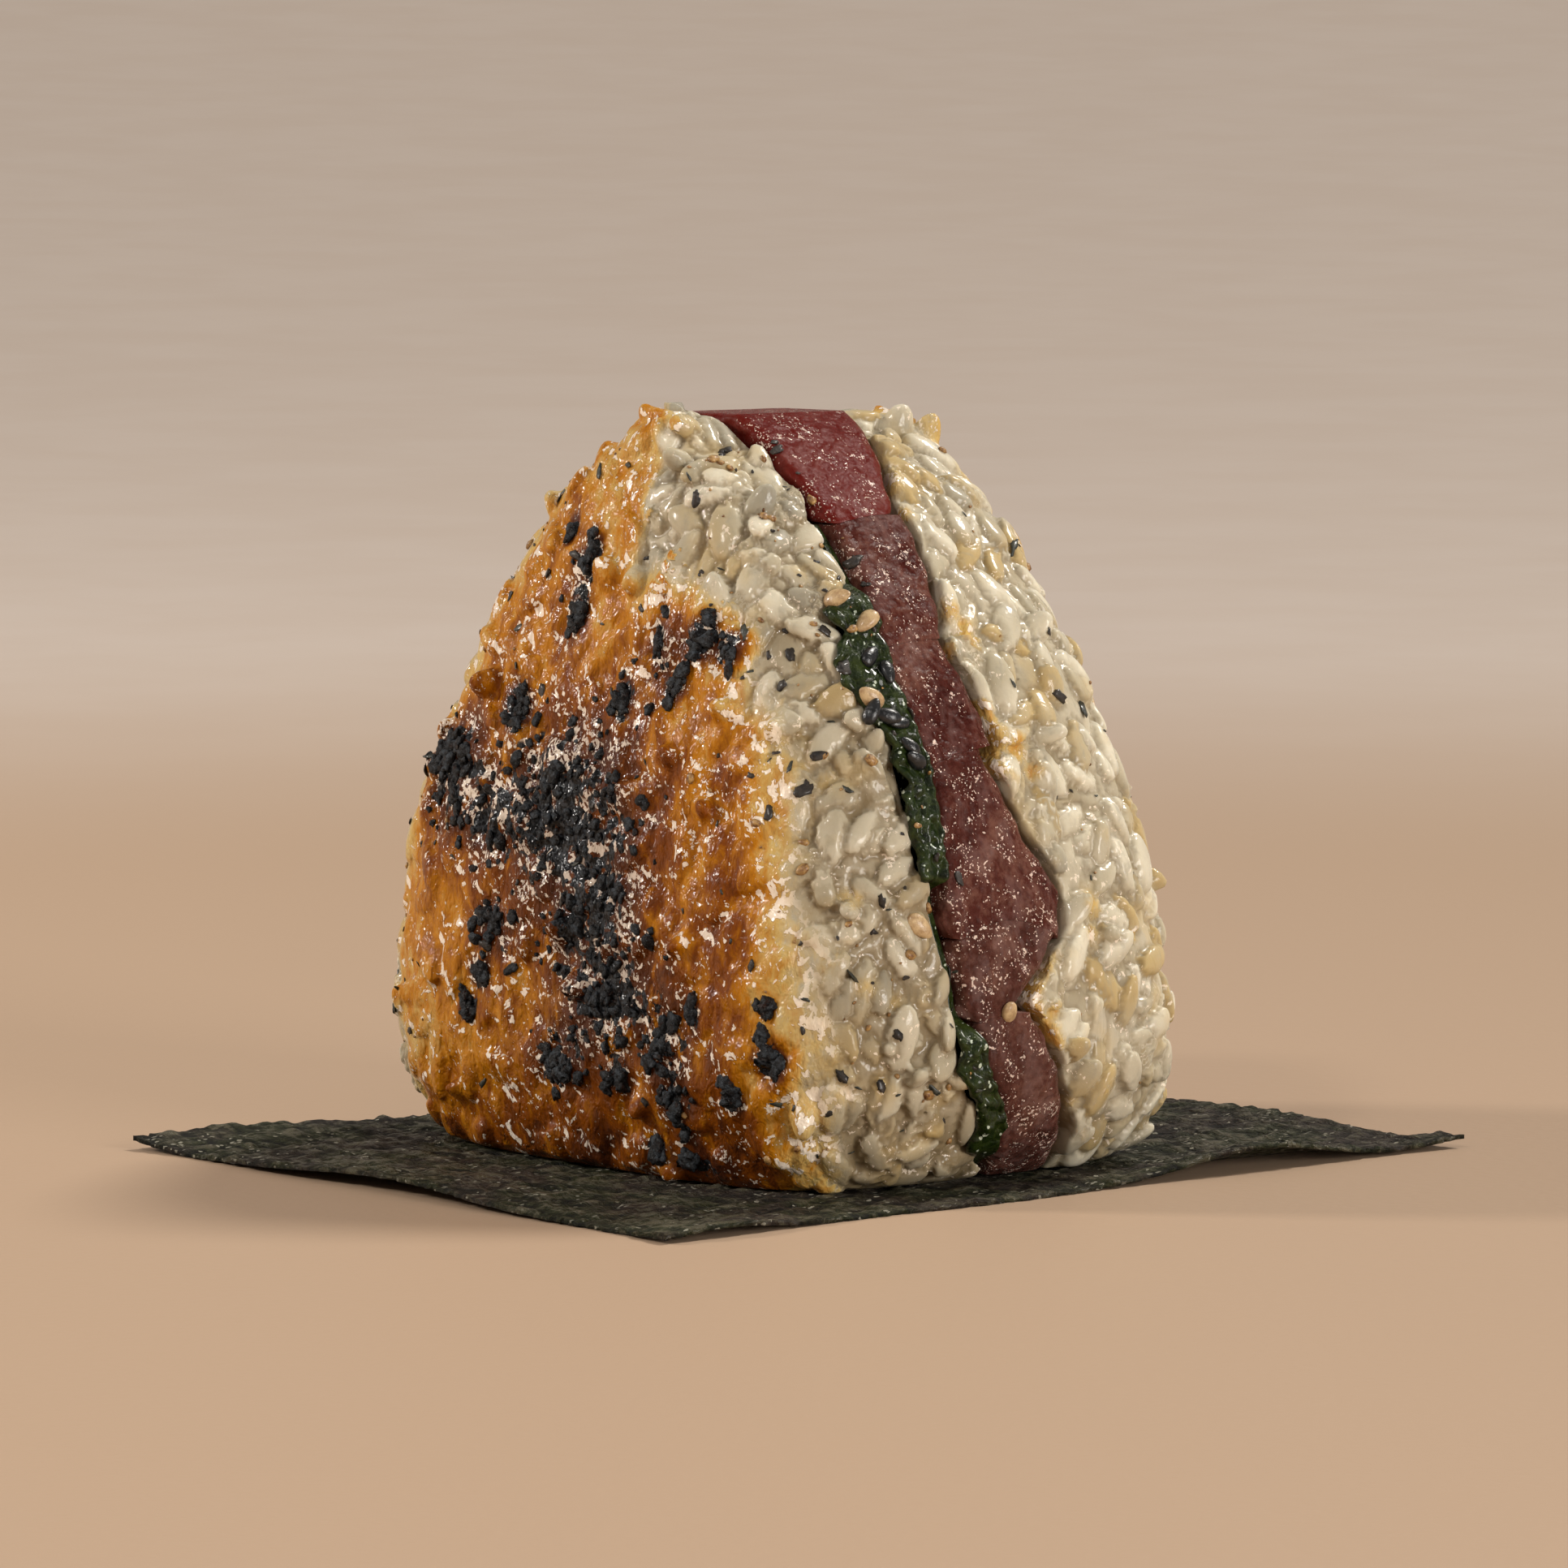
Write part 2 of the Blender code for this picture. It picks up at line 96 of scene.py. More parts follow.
def lumpy(points: np.ndarray, length: float, octaves: int = 1, shift: float = 0.0) -> np.ndarray:
    """Seedless noise at each point, about -1 to 1.

    Args:
        points: the places, one to a row, in mm.
        length: the size of the largest lumps, in mm.
        octaves: how many finer layers are added.
        shift: moves the pattern, so that two layers differ.

    Returns:
        One number for each point.
    """
    total = np.zeros(len(points))
    for octave in range(octaves):
        size = length / 2**octave
        total += lattice_noise(points / size + shift + 17.3 * octave) * 1.5 / 2**octave
    return total


def lattice_noise(places: np.ndarray) -> np.ndarray:
    """Gradient noise on a lattice of unit cells, with fixed random slopes.

    Args:
        places: the places, one to a row.

    Returns:
        One number for each place.
    """
    cell = np.floor(places).astype(int)
    inside = places - cell
    ease = inside * inside * inside * (inside * (inside * 6.0 - 15.0) + 10.0)
    total = np.zeros(len(places))
    for corner in range(8):
        step = np.array([(corner >> axis) & 1 for axis in range(3)])
        at = (cell + step) & 255
        pick = LATTICE[(LATTICE[(LATTICE[at[:, 0]] + at[:, 1]) & 255] + at[:, 2]) & 255]
        weight = np.prod(np.where(step, ease, 1.0 - ease), axis=1)
        total += weight * (SLOPES[pick] * (inside - step)).sum(1)
    return total


def hump(value: np.ndarray, middle: float, wide: float) -> np.ndarray:
    """A smooth hump of height 1."""
    return np.exp(-(((value - middle) / wide) ** 2))


def unit(vectors: np.ndarray) -> np.ndarray:
    """The vectors, each made one long."""
    return vectors / np.maximum(np.linalg.norm(vectors, axis=-1, keepdims=True), 1e-9)


def path_of(steps: np.ndarray) -> np.ndarray:
    """How far along a line each of its corners is, from the lengths of its steps."""
    return np.concatenate(([0.0], np.cumsum(steps)))


def tree_of(points: np.ndarray) -> KDTree:
    """A tree that finds the points near a place fast.

    Args:
        points: the points, one to a row.

    Returns:
        The tree.
    """
    tree = KDTree(len(points))
    for number, point in enumerate(points.tolist()):
        tree.insert(point, number)
    tree.balance()
    return tree


def ball_faces(rings: int, around: int) -> list[tuple[int, ...]]:
    """The faces of a small ball: rings of corners between one at each end.

    Args:
        rings: how many bands there are from end to end.
        around: how many corners a ring has.

    Returns:
        The faces, as rows of corner numbers.
    """
    faces = []
    last = 1 + (rings - 2) * around
    for k in range(around):
        after = (k + 1) % around
        faces.append((0, 1 + k, 1 + after))
        faces.append((last + k, last + around, last + after))
        for low in range(1, last, around):
            faces.append((low + k, low + around + k, low + around + after, low + after))
    return faces


def grid_quads(number: np.ndarray) -> np.ndarray:
    """The quads between the corners of a grid of corner numbers."""
    return np.stack((number[:-1, :-1], number[:-1, 1:], number[1:, 1:], number[1:, :-1]), -1).reshape(-1, 4)


def grid_normals(grid: np.ndarray) -> np.ndarray:
    """The normals of a grid of corners, one to a row."""
    return unit(np.cross(np.gradient(grid, axis=1), np.gradient(grid, axis=0)).reshape(-1, 3))


def joined_rings(starts: Iterable[int], count: int, flip: bool = False) -> list[tuple[int, ...]]:
    """The quads that join rings of corners, each with the next.

    Args:
        starts: the number of each ring's first corner.
        count: how many corners a ring has.
        flip: whether the quads face the other way.

    Returns:
        The faces, as rows of corner numbers.
    """
    faces = []
    for low, high in pairwise(starts):
        for k in range(count):
            after = (k + 1) % count
            face = (low + k, low + after, high + after, high + k)
            faces.append(face[::-1] if flip else face)
    return faces


def shifted(faces: list, by: int) -> list[tuple[int, ...]]:
    """The faces with every corner number raised."""
    return [tuple(index + by for index in face) for face in faces]


def read(items: bpy.types.bpy_prop_collection, name: str, kind: type = float) -> np.ndarray:
    """One property of all the items, three numbers to a row.

    Args:
        items: corners or triangles of a mesh.
        name: the property.
        kind: the numbers' type.

    Returns:
        The numbers.
    """
    values = np.zeros(len(items) * 3, kind)
    items.foreach_get(name, values)
    return values.reshape(-1, 3)


def shell_faces(rows: int, columns: int) -> np.ndarray:
    """The faces of a thin closed sheet whose two sides are grids, one after the other.

    Args:
        rows: the grid's rows.
        columns: the grid's columns.

    Returns:
        The quads, facing outwards when the second grid lies on the side that the grid's normals point to.
    """
    number = np.arange(rows * columns).reshape(rows, columns)
    quads, above = grid_quads(number), rows * columns
    border = np.concatenate((number[0, :], number[1:, -1], number[-1, -2::-1], number[-2:0:-1, 0]))
    after = np.roll(border, -1)
    rim = np.stack((border, after, after + above, border + above), -1)
    return np.concatenate((quads[:, ::-1], quads + above, rim))


def to_part(points: np.ndarray) -> np.ndarray:
    """Moves points from the ball's own millimetres into the part's frame in metres."""
    return (points + BALL.shift) * MM


def make_piece(
    name: str,
    points: np.ndarray,
    faces: list | np.ndarray,
    material: bpy.types.Material,
    slot: str,
    nodes: tuple[str, ...] = (),
    masks: dict[str, np.ndarray] | None = None,
) -> bpy.types.Object:
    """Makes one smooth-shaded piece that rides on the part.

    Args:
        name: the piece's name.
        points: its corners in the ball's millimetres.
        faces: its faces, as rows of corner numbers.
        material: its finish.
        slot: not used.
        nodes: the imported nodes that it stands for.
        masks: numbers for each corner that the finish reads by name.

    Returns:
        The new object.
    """
    mesh = bpy.data.meshes.new(name)
    rows = faces.tolist() if isinstance(faces, np.ndarray) else faces
    mesh.from_pydata(to_part(points).tolist(), [], rows)
    mesh.polygons.foreach_set("use_smooth", [True] * len(mesh.polygons))
    for mask, values in (masks or {}).items():
        layer = mesh.attributes.new(mask, "FLOAT", "POINT")
        layer.data.foreach_set("value", values.astype(np.float32))
    mesh.materials.append(material)
    mesh.update()
    piece = bpy.data.objects.new(name, mesh)
    bpy.context.scene.collection.objects.link(piece)
    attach(piece, BODY)
    if nodes:
        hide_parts(*nodes)
    log.info("%s: %d corners, %d faces", name, len(mesh.vertices), len(mesh.polygons))
    return piece


def fused(
    points: np.ndarray, faces: list, fineness: float, kept: float
) -> tuple[np.ndarray, np.ndarray, np.ndarray, np.ndarray]:
    """Joins closed bodies that run into one another into one skin.

    Args:
        points: the corners of all the bodies, in mm.
        faces: their faces, as rows of corner numbers.
        fineness: the size of the new skin's faces in mm.
        kept: the share of them that stays when flat places are thinned out.

    Returns:
        The new corners, their normals, the new triangles, and for each new corner the nearest old one.
    """
    mesh = bpy.data.meshes.new("loose_bodies")
    mesh.from_pydata(points.tolist(), [], faces)
    body = bpy.data.objects.new("loose_bodies", mesh)
    bpy.context.scene.collection.objects.link(body)
    remesh = body.modifiers.new("fuse", "REMESH")
    remesh.mode = "VOXEL"
    remesh.voxel_size = fineness
    body.modifiers.new("thin", "DECIMATE").ratio = kept
    skin = body.evaluated_get(bpy.context.evaluated_depsgraph_get()).to_mesh()
    corners, normals = read(skin.vertices, "co"), read(skin.vertices, "normal")
    skin.calc_loop_triangles()
    triangles = read(skin.loop_triangles, "vertices", int)
    bpy.data.objects.remove(body)
    bpy.data.meshes.remove(mesh)
    tree = tree_of(points)
    nearest = np.array([tree.find(corner)[1] for corner in corners.tolist()])
    return corners, normals, triangles, nearest


def borders(faces: np.ndarray, own: np.ndarray) -> np.ndarray:
    """Finds where one grain meets the next.

    Args:
        faces: the triangles of a skin.
        own: for each corner, a number that only its grain has.

    Returns:
        How near each corner is to such a line, 0 to 1.
    """
    start, end = faces.ravel(), np.roll(faces, -1, 1).ravel()
    differ = np.abs(own[start] - own[end]) > 1e-9
    line = np.zeros(len(own))
    line[start[differ]] = 1.0
    line[end[differ]] = 1.0
    around = np.bincount(start, line[end], len(own)) + np.bincount(end, line[start], len(own))
    links = np.bincount(start, minlength=len(own)) + np.bincount(end, minlength=len(own))
    return 0.55 * line + 0.45 * around / np.maximum(links, 1)


# The rice ball's form


@dataclass(frozen=True)
class BallForm:
    """The rice ball's outer form in mm: a triangle with rounded sides, thinner at its ridge.

    The seam rows are (height, depth y of the tuna's front, room for the leaf before it). The slice rows are
    (bottom, top, back edge at the bottom, back edge at the top). The step lines are (slope, bow) of the
    line under each slice and over the last. The glaze rows are (height, how far the glaze reaches round).
    """

    height: float = 78.0
    widest: float = 41.4
    thickest: float = 28.0
    base_width: float = 33.0
    base_depth: float = 25.0
    ridge_depth: float = 16.0
    widest_at: float = 14.0
    shift_x: float = 0.3
    shift_y: float = -3.2
    floor: float = 0.9
    seam_rows: Rows = (
        (0.0, -0.3, 1.5), (5.0, -2.6, 3.0), (14.0, -6.9, 3.0), (19.0, -8.9, 1.5),
        (29.0, -10.2, 1.5), (33.0, -9.2, 3.2), (44.0, -8.8, 3.2), (52.0, -9.4, 4.2),
        (57.0, -8.9, 3.6), (61.0, -8.2, 1.5), (66.0, -8.4, 1.4), (69.0, -9.0, 0.3),
        (78.0, -9.6, 0.3),
    )
    slice_rows: Rows = (
        (0.0, 17.0, 9.0, 0.5), (17.0, 25.5, -3.0, 4.6), (25.5, 43.0, 4.8, -0.5),
        (43.0, 54.0, 1.4, -1.0), (54.0, 66.0, -0.6, 2.2), (66.0, 76.6, 0.6, 6.5),
    )
    shoulder: tuple[float, float, float] = (29.0, 3.2, 1.7)
    step_lines: Rows = (
        (0.0, 0.0), (0.04, 0.5), (0.0, 1.3), (0.14, 0.5), (0.02, 0.4), (0.06, 0.5), (0.0, 0.0),
    )
    glaze_rows: Rows = (
        (0.0, 5.2), (10.0, 4.7), (40.0, 4.5), (48.0, 3.0), (54.0, 2.2), (60.0, 0.9), (70.0, 0.45),
        (78.0, 0.3),
    )

    @property
    def shift(self) -> np.ndarray:
        """How far the ball's base and middle lie from the part's origin."""
        return np.array((self.shift_x, self.shift_y, self.floor))

    def _foot(self, z: np.ndarray) -> np.ndarray:
        """How far the rounded foot has come out at a height, 0 to 1."""
        low = np.clip(z / self.widest_at, 0.0, 1.0)
        return (1.0 - (1.0 - low) ** 2) ** 0.8

    def _rise(self, z: np.ndarray) -> np.ndarray:
        """How far up from the widest place to the ridge a height is, 0 to 1."""
        return np.clip((z - self.widest_at) / (self.height - self.widest_at), 0.0, 1.0)

    def half_width(self, z: np.ndarray) -> np.ndarray:
        """Half the width of the triangle at each height."""
        foot = self.base_width + (self.widest - self.base_width) * self._foot(z)
        return foot * (1.0 - self._rise(z) ** 1.7) ** 0.625

    def half_depth(self, z: np.ndarray) -> np.ndarray:
        """Half the thickness of the ball at each height."""
        foot = self.base_depth + (self.thickest - self.base_depth) * self._foot(z)
        return foot - (self.thickest - self.ridge_depth) * self._rise(z) ** 2

    def side_reach(self, y: np.ndarray, z: np.ndarray) -> np.ndarray:
        """How far out the narrow side is at each depth and height."""
        share = np.clip(np.abs(y) / self.half_depth(z), 0.0, 1.0)
        return self.half_width(z) * (1.0 - share**4) ** 0.25

    def seam(self, z: np.ndarray) -> tuple[np.ndarray, np.ndarray]:
        """The tuna's front edge and the leaf's room before it.

        Args:
            z: heights over the base.

        Returns:
            The depth y of the tuna's front, and the room in front of it.
        """
        rows = np.array(self.seam_rows)
        z = np.asarray(z, float)
        after = np.clip(np.searchsorted(rows[:, 0], z), 1, len(rows) - 1)
        low, high = rows[after - 1], rows[after]
        share = smooth(0.0, 1.0, (z - low[..., 0]) / (high[..., 0] - low[..., 0]))
        blend = low + (high - low) * share[..., None]
        return blend[..., 1], blend[..., 2]

    def slice_back(self, number: int, z: np.ndarray) -> np.ndarray:
        """Where one slice's back edge is, a little bowed and uneven.

        Args:
            number: the slice, from 1 at the foot.
            z: heights over the base.

        Returns:
            The depth y at each height.
        """
        bottom, top, low, high = self.slice_rows[number - 1]
        share = np.clip((z - bottom) / (top - bottom), 0.0, 1.0)
        middle, wide, out = self.shoulder
        bulge = out * hump(z, middle, wide)
        bowed = low + (high - low) * share + 0.55 * np.sin(math.pi * share)
        return bowed + 0.16 * np.sin(1.7 * z + number) + bulge

    def step_line(self, number: int, y: np.ndarray) -> np.ndarray:
        """Where the line under one slice is.

        Args:
            number: the slice, or one more for the line over the last.
            y: depths.

        Returns:
            The height of the line at each depth.
        """
        rows = self.slice_rows
        height = rows[number - 1][0] if number <= len(rows) else rows[-1][1]
        slope, bow = self.step_lines[number - 1]
        return height + slope * (y + 3.0) + bow * (1.0 - ((y + 3.0) / 5.5) ** 2)

    @lru_cache(maxsize=1)
    def _back_table(self) -> tuple[np.ndarray, np.ndarray]:
        """The tuna's back edge, eased where one slice steps out over another.

        Returns:
            Heights, and the depth y at each.
        """
        z = np.arange(-1.0, self.height + 1.0, 0.1)
        edge = np.full(z.shape, self.slice_rows[-1][3])
        for number, (bottom, top, *_) in enumerate(self.slice_rows, start=1):
            inside = (z >= bottom) & (z < top)
            edge = np.where(inside, self.slice_back(number, z), edge)
        edge = np.where(z < 0.0, self.slice_rows[0][2], edge)
        wide = np.max([np.roll(edge, shift) for shift in range(-6, 7)], axis=0)
        return z, np.mean([np.roll(wide, shift) for shift in range(-7, 8)], axis=0)

    def tuna_back(self, z: np.ndarray) -> np.ndarray:
        """The depth y of the tuna's back edge at each height."""
        return np.interp(z, *self._back_table())


BALL = BallForm()


# Finishes


class Nodes:
    """Adds shader nodes to one new material and links them up."""

    def __init__(self, name: str) -> None:
        """Starts a material with a Principled shader.

        Args:
            name: the material's name.
        """
        self.material = bpy.data.materials.new(name)
        self.material.use_nodes = True
        self.tree = self.material.node_tree
        self.shader = self.tree.nodes["Principled BSDF"]
        self.place = self._node("TexCoord", {}).outputs["Object"]

    def _node(self, kind: str, inputs: dict[str | int, object], **settings: object) -> bpy.types.Node:
        """Adds one shader node.

        Args:
            kind: its type without the usual first words.
            inputs: values or outputs for its sockets, by name or number.
            settings: its other choices by name.

        Returns:
            The node.
        """
        node = self.tree.nodes.new(f"ShaderNode{kind}")
        for name, value in settings.items():
            setattr(node, name, value)
        for key, value in inputs.items():
            self._feed(node.inputs[key], value)
        return node

    def _feed(self, socket: bpy.types.NodeSocket, value: object) -> None:
        """Links an output to the socket, or sets the socket to a plain value.

        Args:
            socket: the input.
            value: an output, a number, a vector or a colour.
        """
        if isinstance(value, bpy.types.NodeSocket):
            self.tree.links.new(value, socket)
        elif isinstance(value, tuple) and len(value) == 3 and socket.type == "RGBA":
            socket.default_value = (*value, 1.0)
        else:
            socket.default_value = value

    def set(self, **values: object) -> None:
        """Sets the shader's sockets; an underscore in a name stands for a space."""
        for name, value in values.items():
            self._feed(self.shader.inputs[name.replace("_", " ").title().replace("Ior", "IOR")], value)

    def squeezed(self, x: float, y: float, z: float, shift: float = 0.0) -> bpy.types.NodeSocket:
        """The object's coordinates, each times a number.

        Args:
            x: times X.
            y: times Y.
            z: times Z.
            shift: how far to move them after that, up and a little aside, in mm.

        Returns:
            The vector output.
        """
        moved = (0.5 * shift * MM, -0.2 * shift * MM, shift * MM)
        inputs = {0: self.place, 1: (x, y, z), 2: moved}
        return self._node("VectorMath", inputs, operation="MULTIPLY_ADD").outputs[0]

    def painted_glints(
        self, size: float, steep: float, cluster: float, stretch: Stretch, bonus: object = 0.0
    ) -> object:
        """Painted highlights: ragged bright flecks where an uneven skin turns up to the light, gathered in
        clusters.

        Args:
            size: the size of the unevenness in mm.
            steep: how steep it must be to get a painted highlight; a higher number makes fewer flecks.
            cluster: the size of the clusters in mm.
            stretch: times X, Y and Z; less than 1 draws the flecks out.
            bonus: where more of them are painted.

        Returns:
            How much painted highlight each place gets, 0 to 1.
        """
        here = self.noise(size, 3.0, 0.62, 0.5, self.squeezed(*stretch))
        above = self.noise(size, 3.0, 0.62, 0.5, self.squeezed(*stretch, 0.4 * size))
        slope = self.less(here, above)
        apart = self.spread(self.noise(cluster, 2.0, 0.6), 0.46, 0.6, (-0.15, 0.0))
        return self.spread(self.sum(slope, self.sum(apart, bonus)), steep, steep + 0.03)

    def warped(self, size: float, shift: float, stretch: Stretch) -> object:
        """The object's coordinates pushed about by noise, for ragged patterns.

        Args:
            size: the size of the noise's clouds in mm.
            shift: how far it pushes, in mm.
            stretch: times X, Y and Z afterwards.

        Returns:
            The vector output.
        """
        noise = self._node("TexNoise", {"Vector": self.place, "Scale": 1.0 / (size * MM), "Detail": 3.0})
        inputs = {0: noise.outputs["Color"], 1: (shift * MM,) * 3, 2: self.place}
        pushed = self._node("VectorMath", inputs, operation="MULTIPLY_ADD").outputs[0]
        return self._node("VectorMath", {0: pushed, 1: stretch}, operation="MULTIPLY").outputs[0]

    def painted_specks(
        self,
        size: float,
        share: float,
        cluster: float,
        ragged: object,
        stretch: Stretch,
        fill: float = 0.7,
        bonus: object = 0.0,
    ) -> object:
        """Painted highlights: ragged bright flecks, gathered in clusters.

        Args:
            size: how far apart the flecks are, in mm.
            share: how many of them are painted; a higher number makes fewer.
            cluster: the size of the clusters in mm.
            ragged: a fine noise that breaks up their outlines.
            stretch: times X, Y and Z; less than 1 draws the flecks out.
            fill: how much of its room each fleck fills.
            bonus: where more of them are painted.

        Returns:
            How much painted highlight each place gets, 0 to 1.
        """
        cells = self.cells(size, "F1", self.squeezed(*stretch))
        away = self.sum(cells.outputs["Distance"], self.times(ragged, 0.9))
        fleck = self.spread(away, fill + 0.04, fill - 0.04)
        gathered = self.spread(self.noise(cluster, 2.0, 0.6), 0.42, 0.6)
        chosen = self.sum(self.times(cells.outputs["Color"], 0.5), self.sum(gathered, bonus))
        chosen = self.spread(chosen, share, share + 0.05)
        return self.times(fleck, chosen)

    def distance(self) -> bpy.types.NodeSocket:
        """How far each place is from the object's origin, in metres."""
        return self._node("VectorMath", {0: self.place}, operation="LENGTH").outputs["Value"]

    def noise(
        self, size: float, detail: float = 2.0, rough: float = 0.5, warp: float = 0.0, at: object = None
    ) -> bpy.types.NodeSocket:
        """Cloudy noise, 0 to 1: its clouds' size in mm, finer layers, their strength and distortion."""
        inputs = {"Vector": at or self.place, "Scale": 1.0 / (size * MM), "Detail": detail}
        return self._node("TexNoise", {**inputs, "Roughness": rough, "Distortion": warp}).outputs["Fac"]

    def cells(self, size: float, feature: str = "F1", at: object = None) -> bpy.types.Node:
        """A pattern of cells of a size in mm; its Distance and Color outputs are read."""
        inputs = {"Vector": at or self.place, "Scale": 1.0 / (size * MM)}
        return self._node("TexVoronoi", inputs, feature=feature)

    def mask(self, name: str) -> bpy.types.NodeSocket:
        """The mesh's own numbers of that name."""
        return self._node("Attribute", {}, attribute_name=name).outputs["Fac"]

    def _math(self, kind: str, first: object, second: object, clamp: bool = False) -> bpy.types.NodeSocket:
        """The output of one Math node, kept from 0 to 1 where clamp is set."""
        return self._node("Math", {0: first, 1: second}, operation=kind, use_clamp=clamp).outputs[0]

    def sum(self, first: object, second: object) -> bpy.types.NodeSocket:
        """The first and the second together."""
        return self._math("ADD", first, second)

    def less(self, first: object, second: object, clamp: bool = False) -> bpy.types.NodeSocket:
        """The first less the second."""
        return self._math("SUBTRACT", first, second, clamp)

    def times(self, first: object, second: object) -> bpy.types.NodeSocket:
        """The first times the second."""
        return self._math("MULTIPLY", first, second)

    def most(self, first: object, second: object) -> bpy.types.NodeSocket:
        """The greater of the two."""
        return self._math("MAXIMUM", first, second)

    def spread(
        self, value: object, low: float, high: float, to: tuple[float, float] = (0.0, 1.0)
    ) -> object:
        """The value with its range from low to high mapped onto another, in an even S."""
        inputs = {"Value": value, "From Min": low, "From Max": high, "To Min": to[0], "To Max": to[1]}
        return self._node("MapRange", inputs, interpolation_type="SMOOTHSTEP").outputs["Result"]

    def ramp(self, value: object, *stops: tuple[float, Colour]) -> bpy.types.NodeSocket:
        """A colour ramp.

        Args:
            value: where on the ramp.
            stops: places and colours, from the lowest up.

        Returns:
            The colour.
        """
        node = self._node("ValToRGB", {"Fac": value})
        line = node.color_ramp.elements
        while len(line) < len(stops):
            line.new(1.0)
        for element, (place, colour) in zip(line, stops):
            element.position = place
            element.color = (*colour, 1.0)
        return node.outputs["Color"]

    def mix(self, share: object, first: object, second: object) -> bpy.types.NodeSocket:
        """Mixes two colours.

        Args:
            share: how much of the second.
            first: a colour or an output.
            second: a colour or an output.

        Returns:
            The colour.
        """
        node = self._node("Mix", {"Factor": share}, data_type="RGBA")
        colours = [socket for socket in node.inputs if socket.type == "RGBA"]
        self._feed(colours[0], first)
        self._feed(colours[1], second)
        return next(socket for socket in node.outputs if socket.type == "RGBA")

    def bump(self, height: object, depth: float, under: object = None) -> object:
        """Relief too fine for the mesh.

        Args:
            height: the pattern, 0 to 1.
            depth: its depth in mm.
            under: another relief that it lies on.

        Returns:
            The normal.
        """
        inputs = {"Strength": 1.0, "Distance": depth * MM, "Height": height}
        if under is not None:
            inputs["Normal"] = under
        return self._node("Bump", inputs).outputs["Normal"]


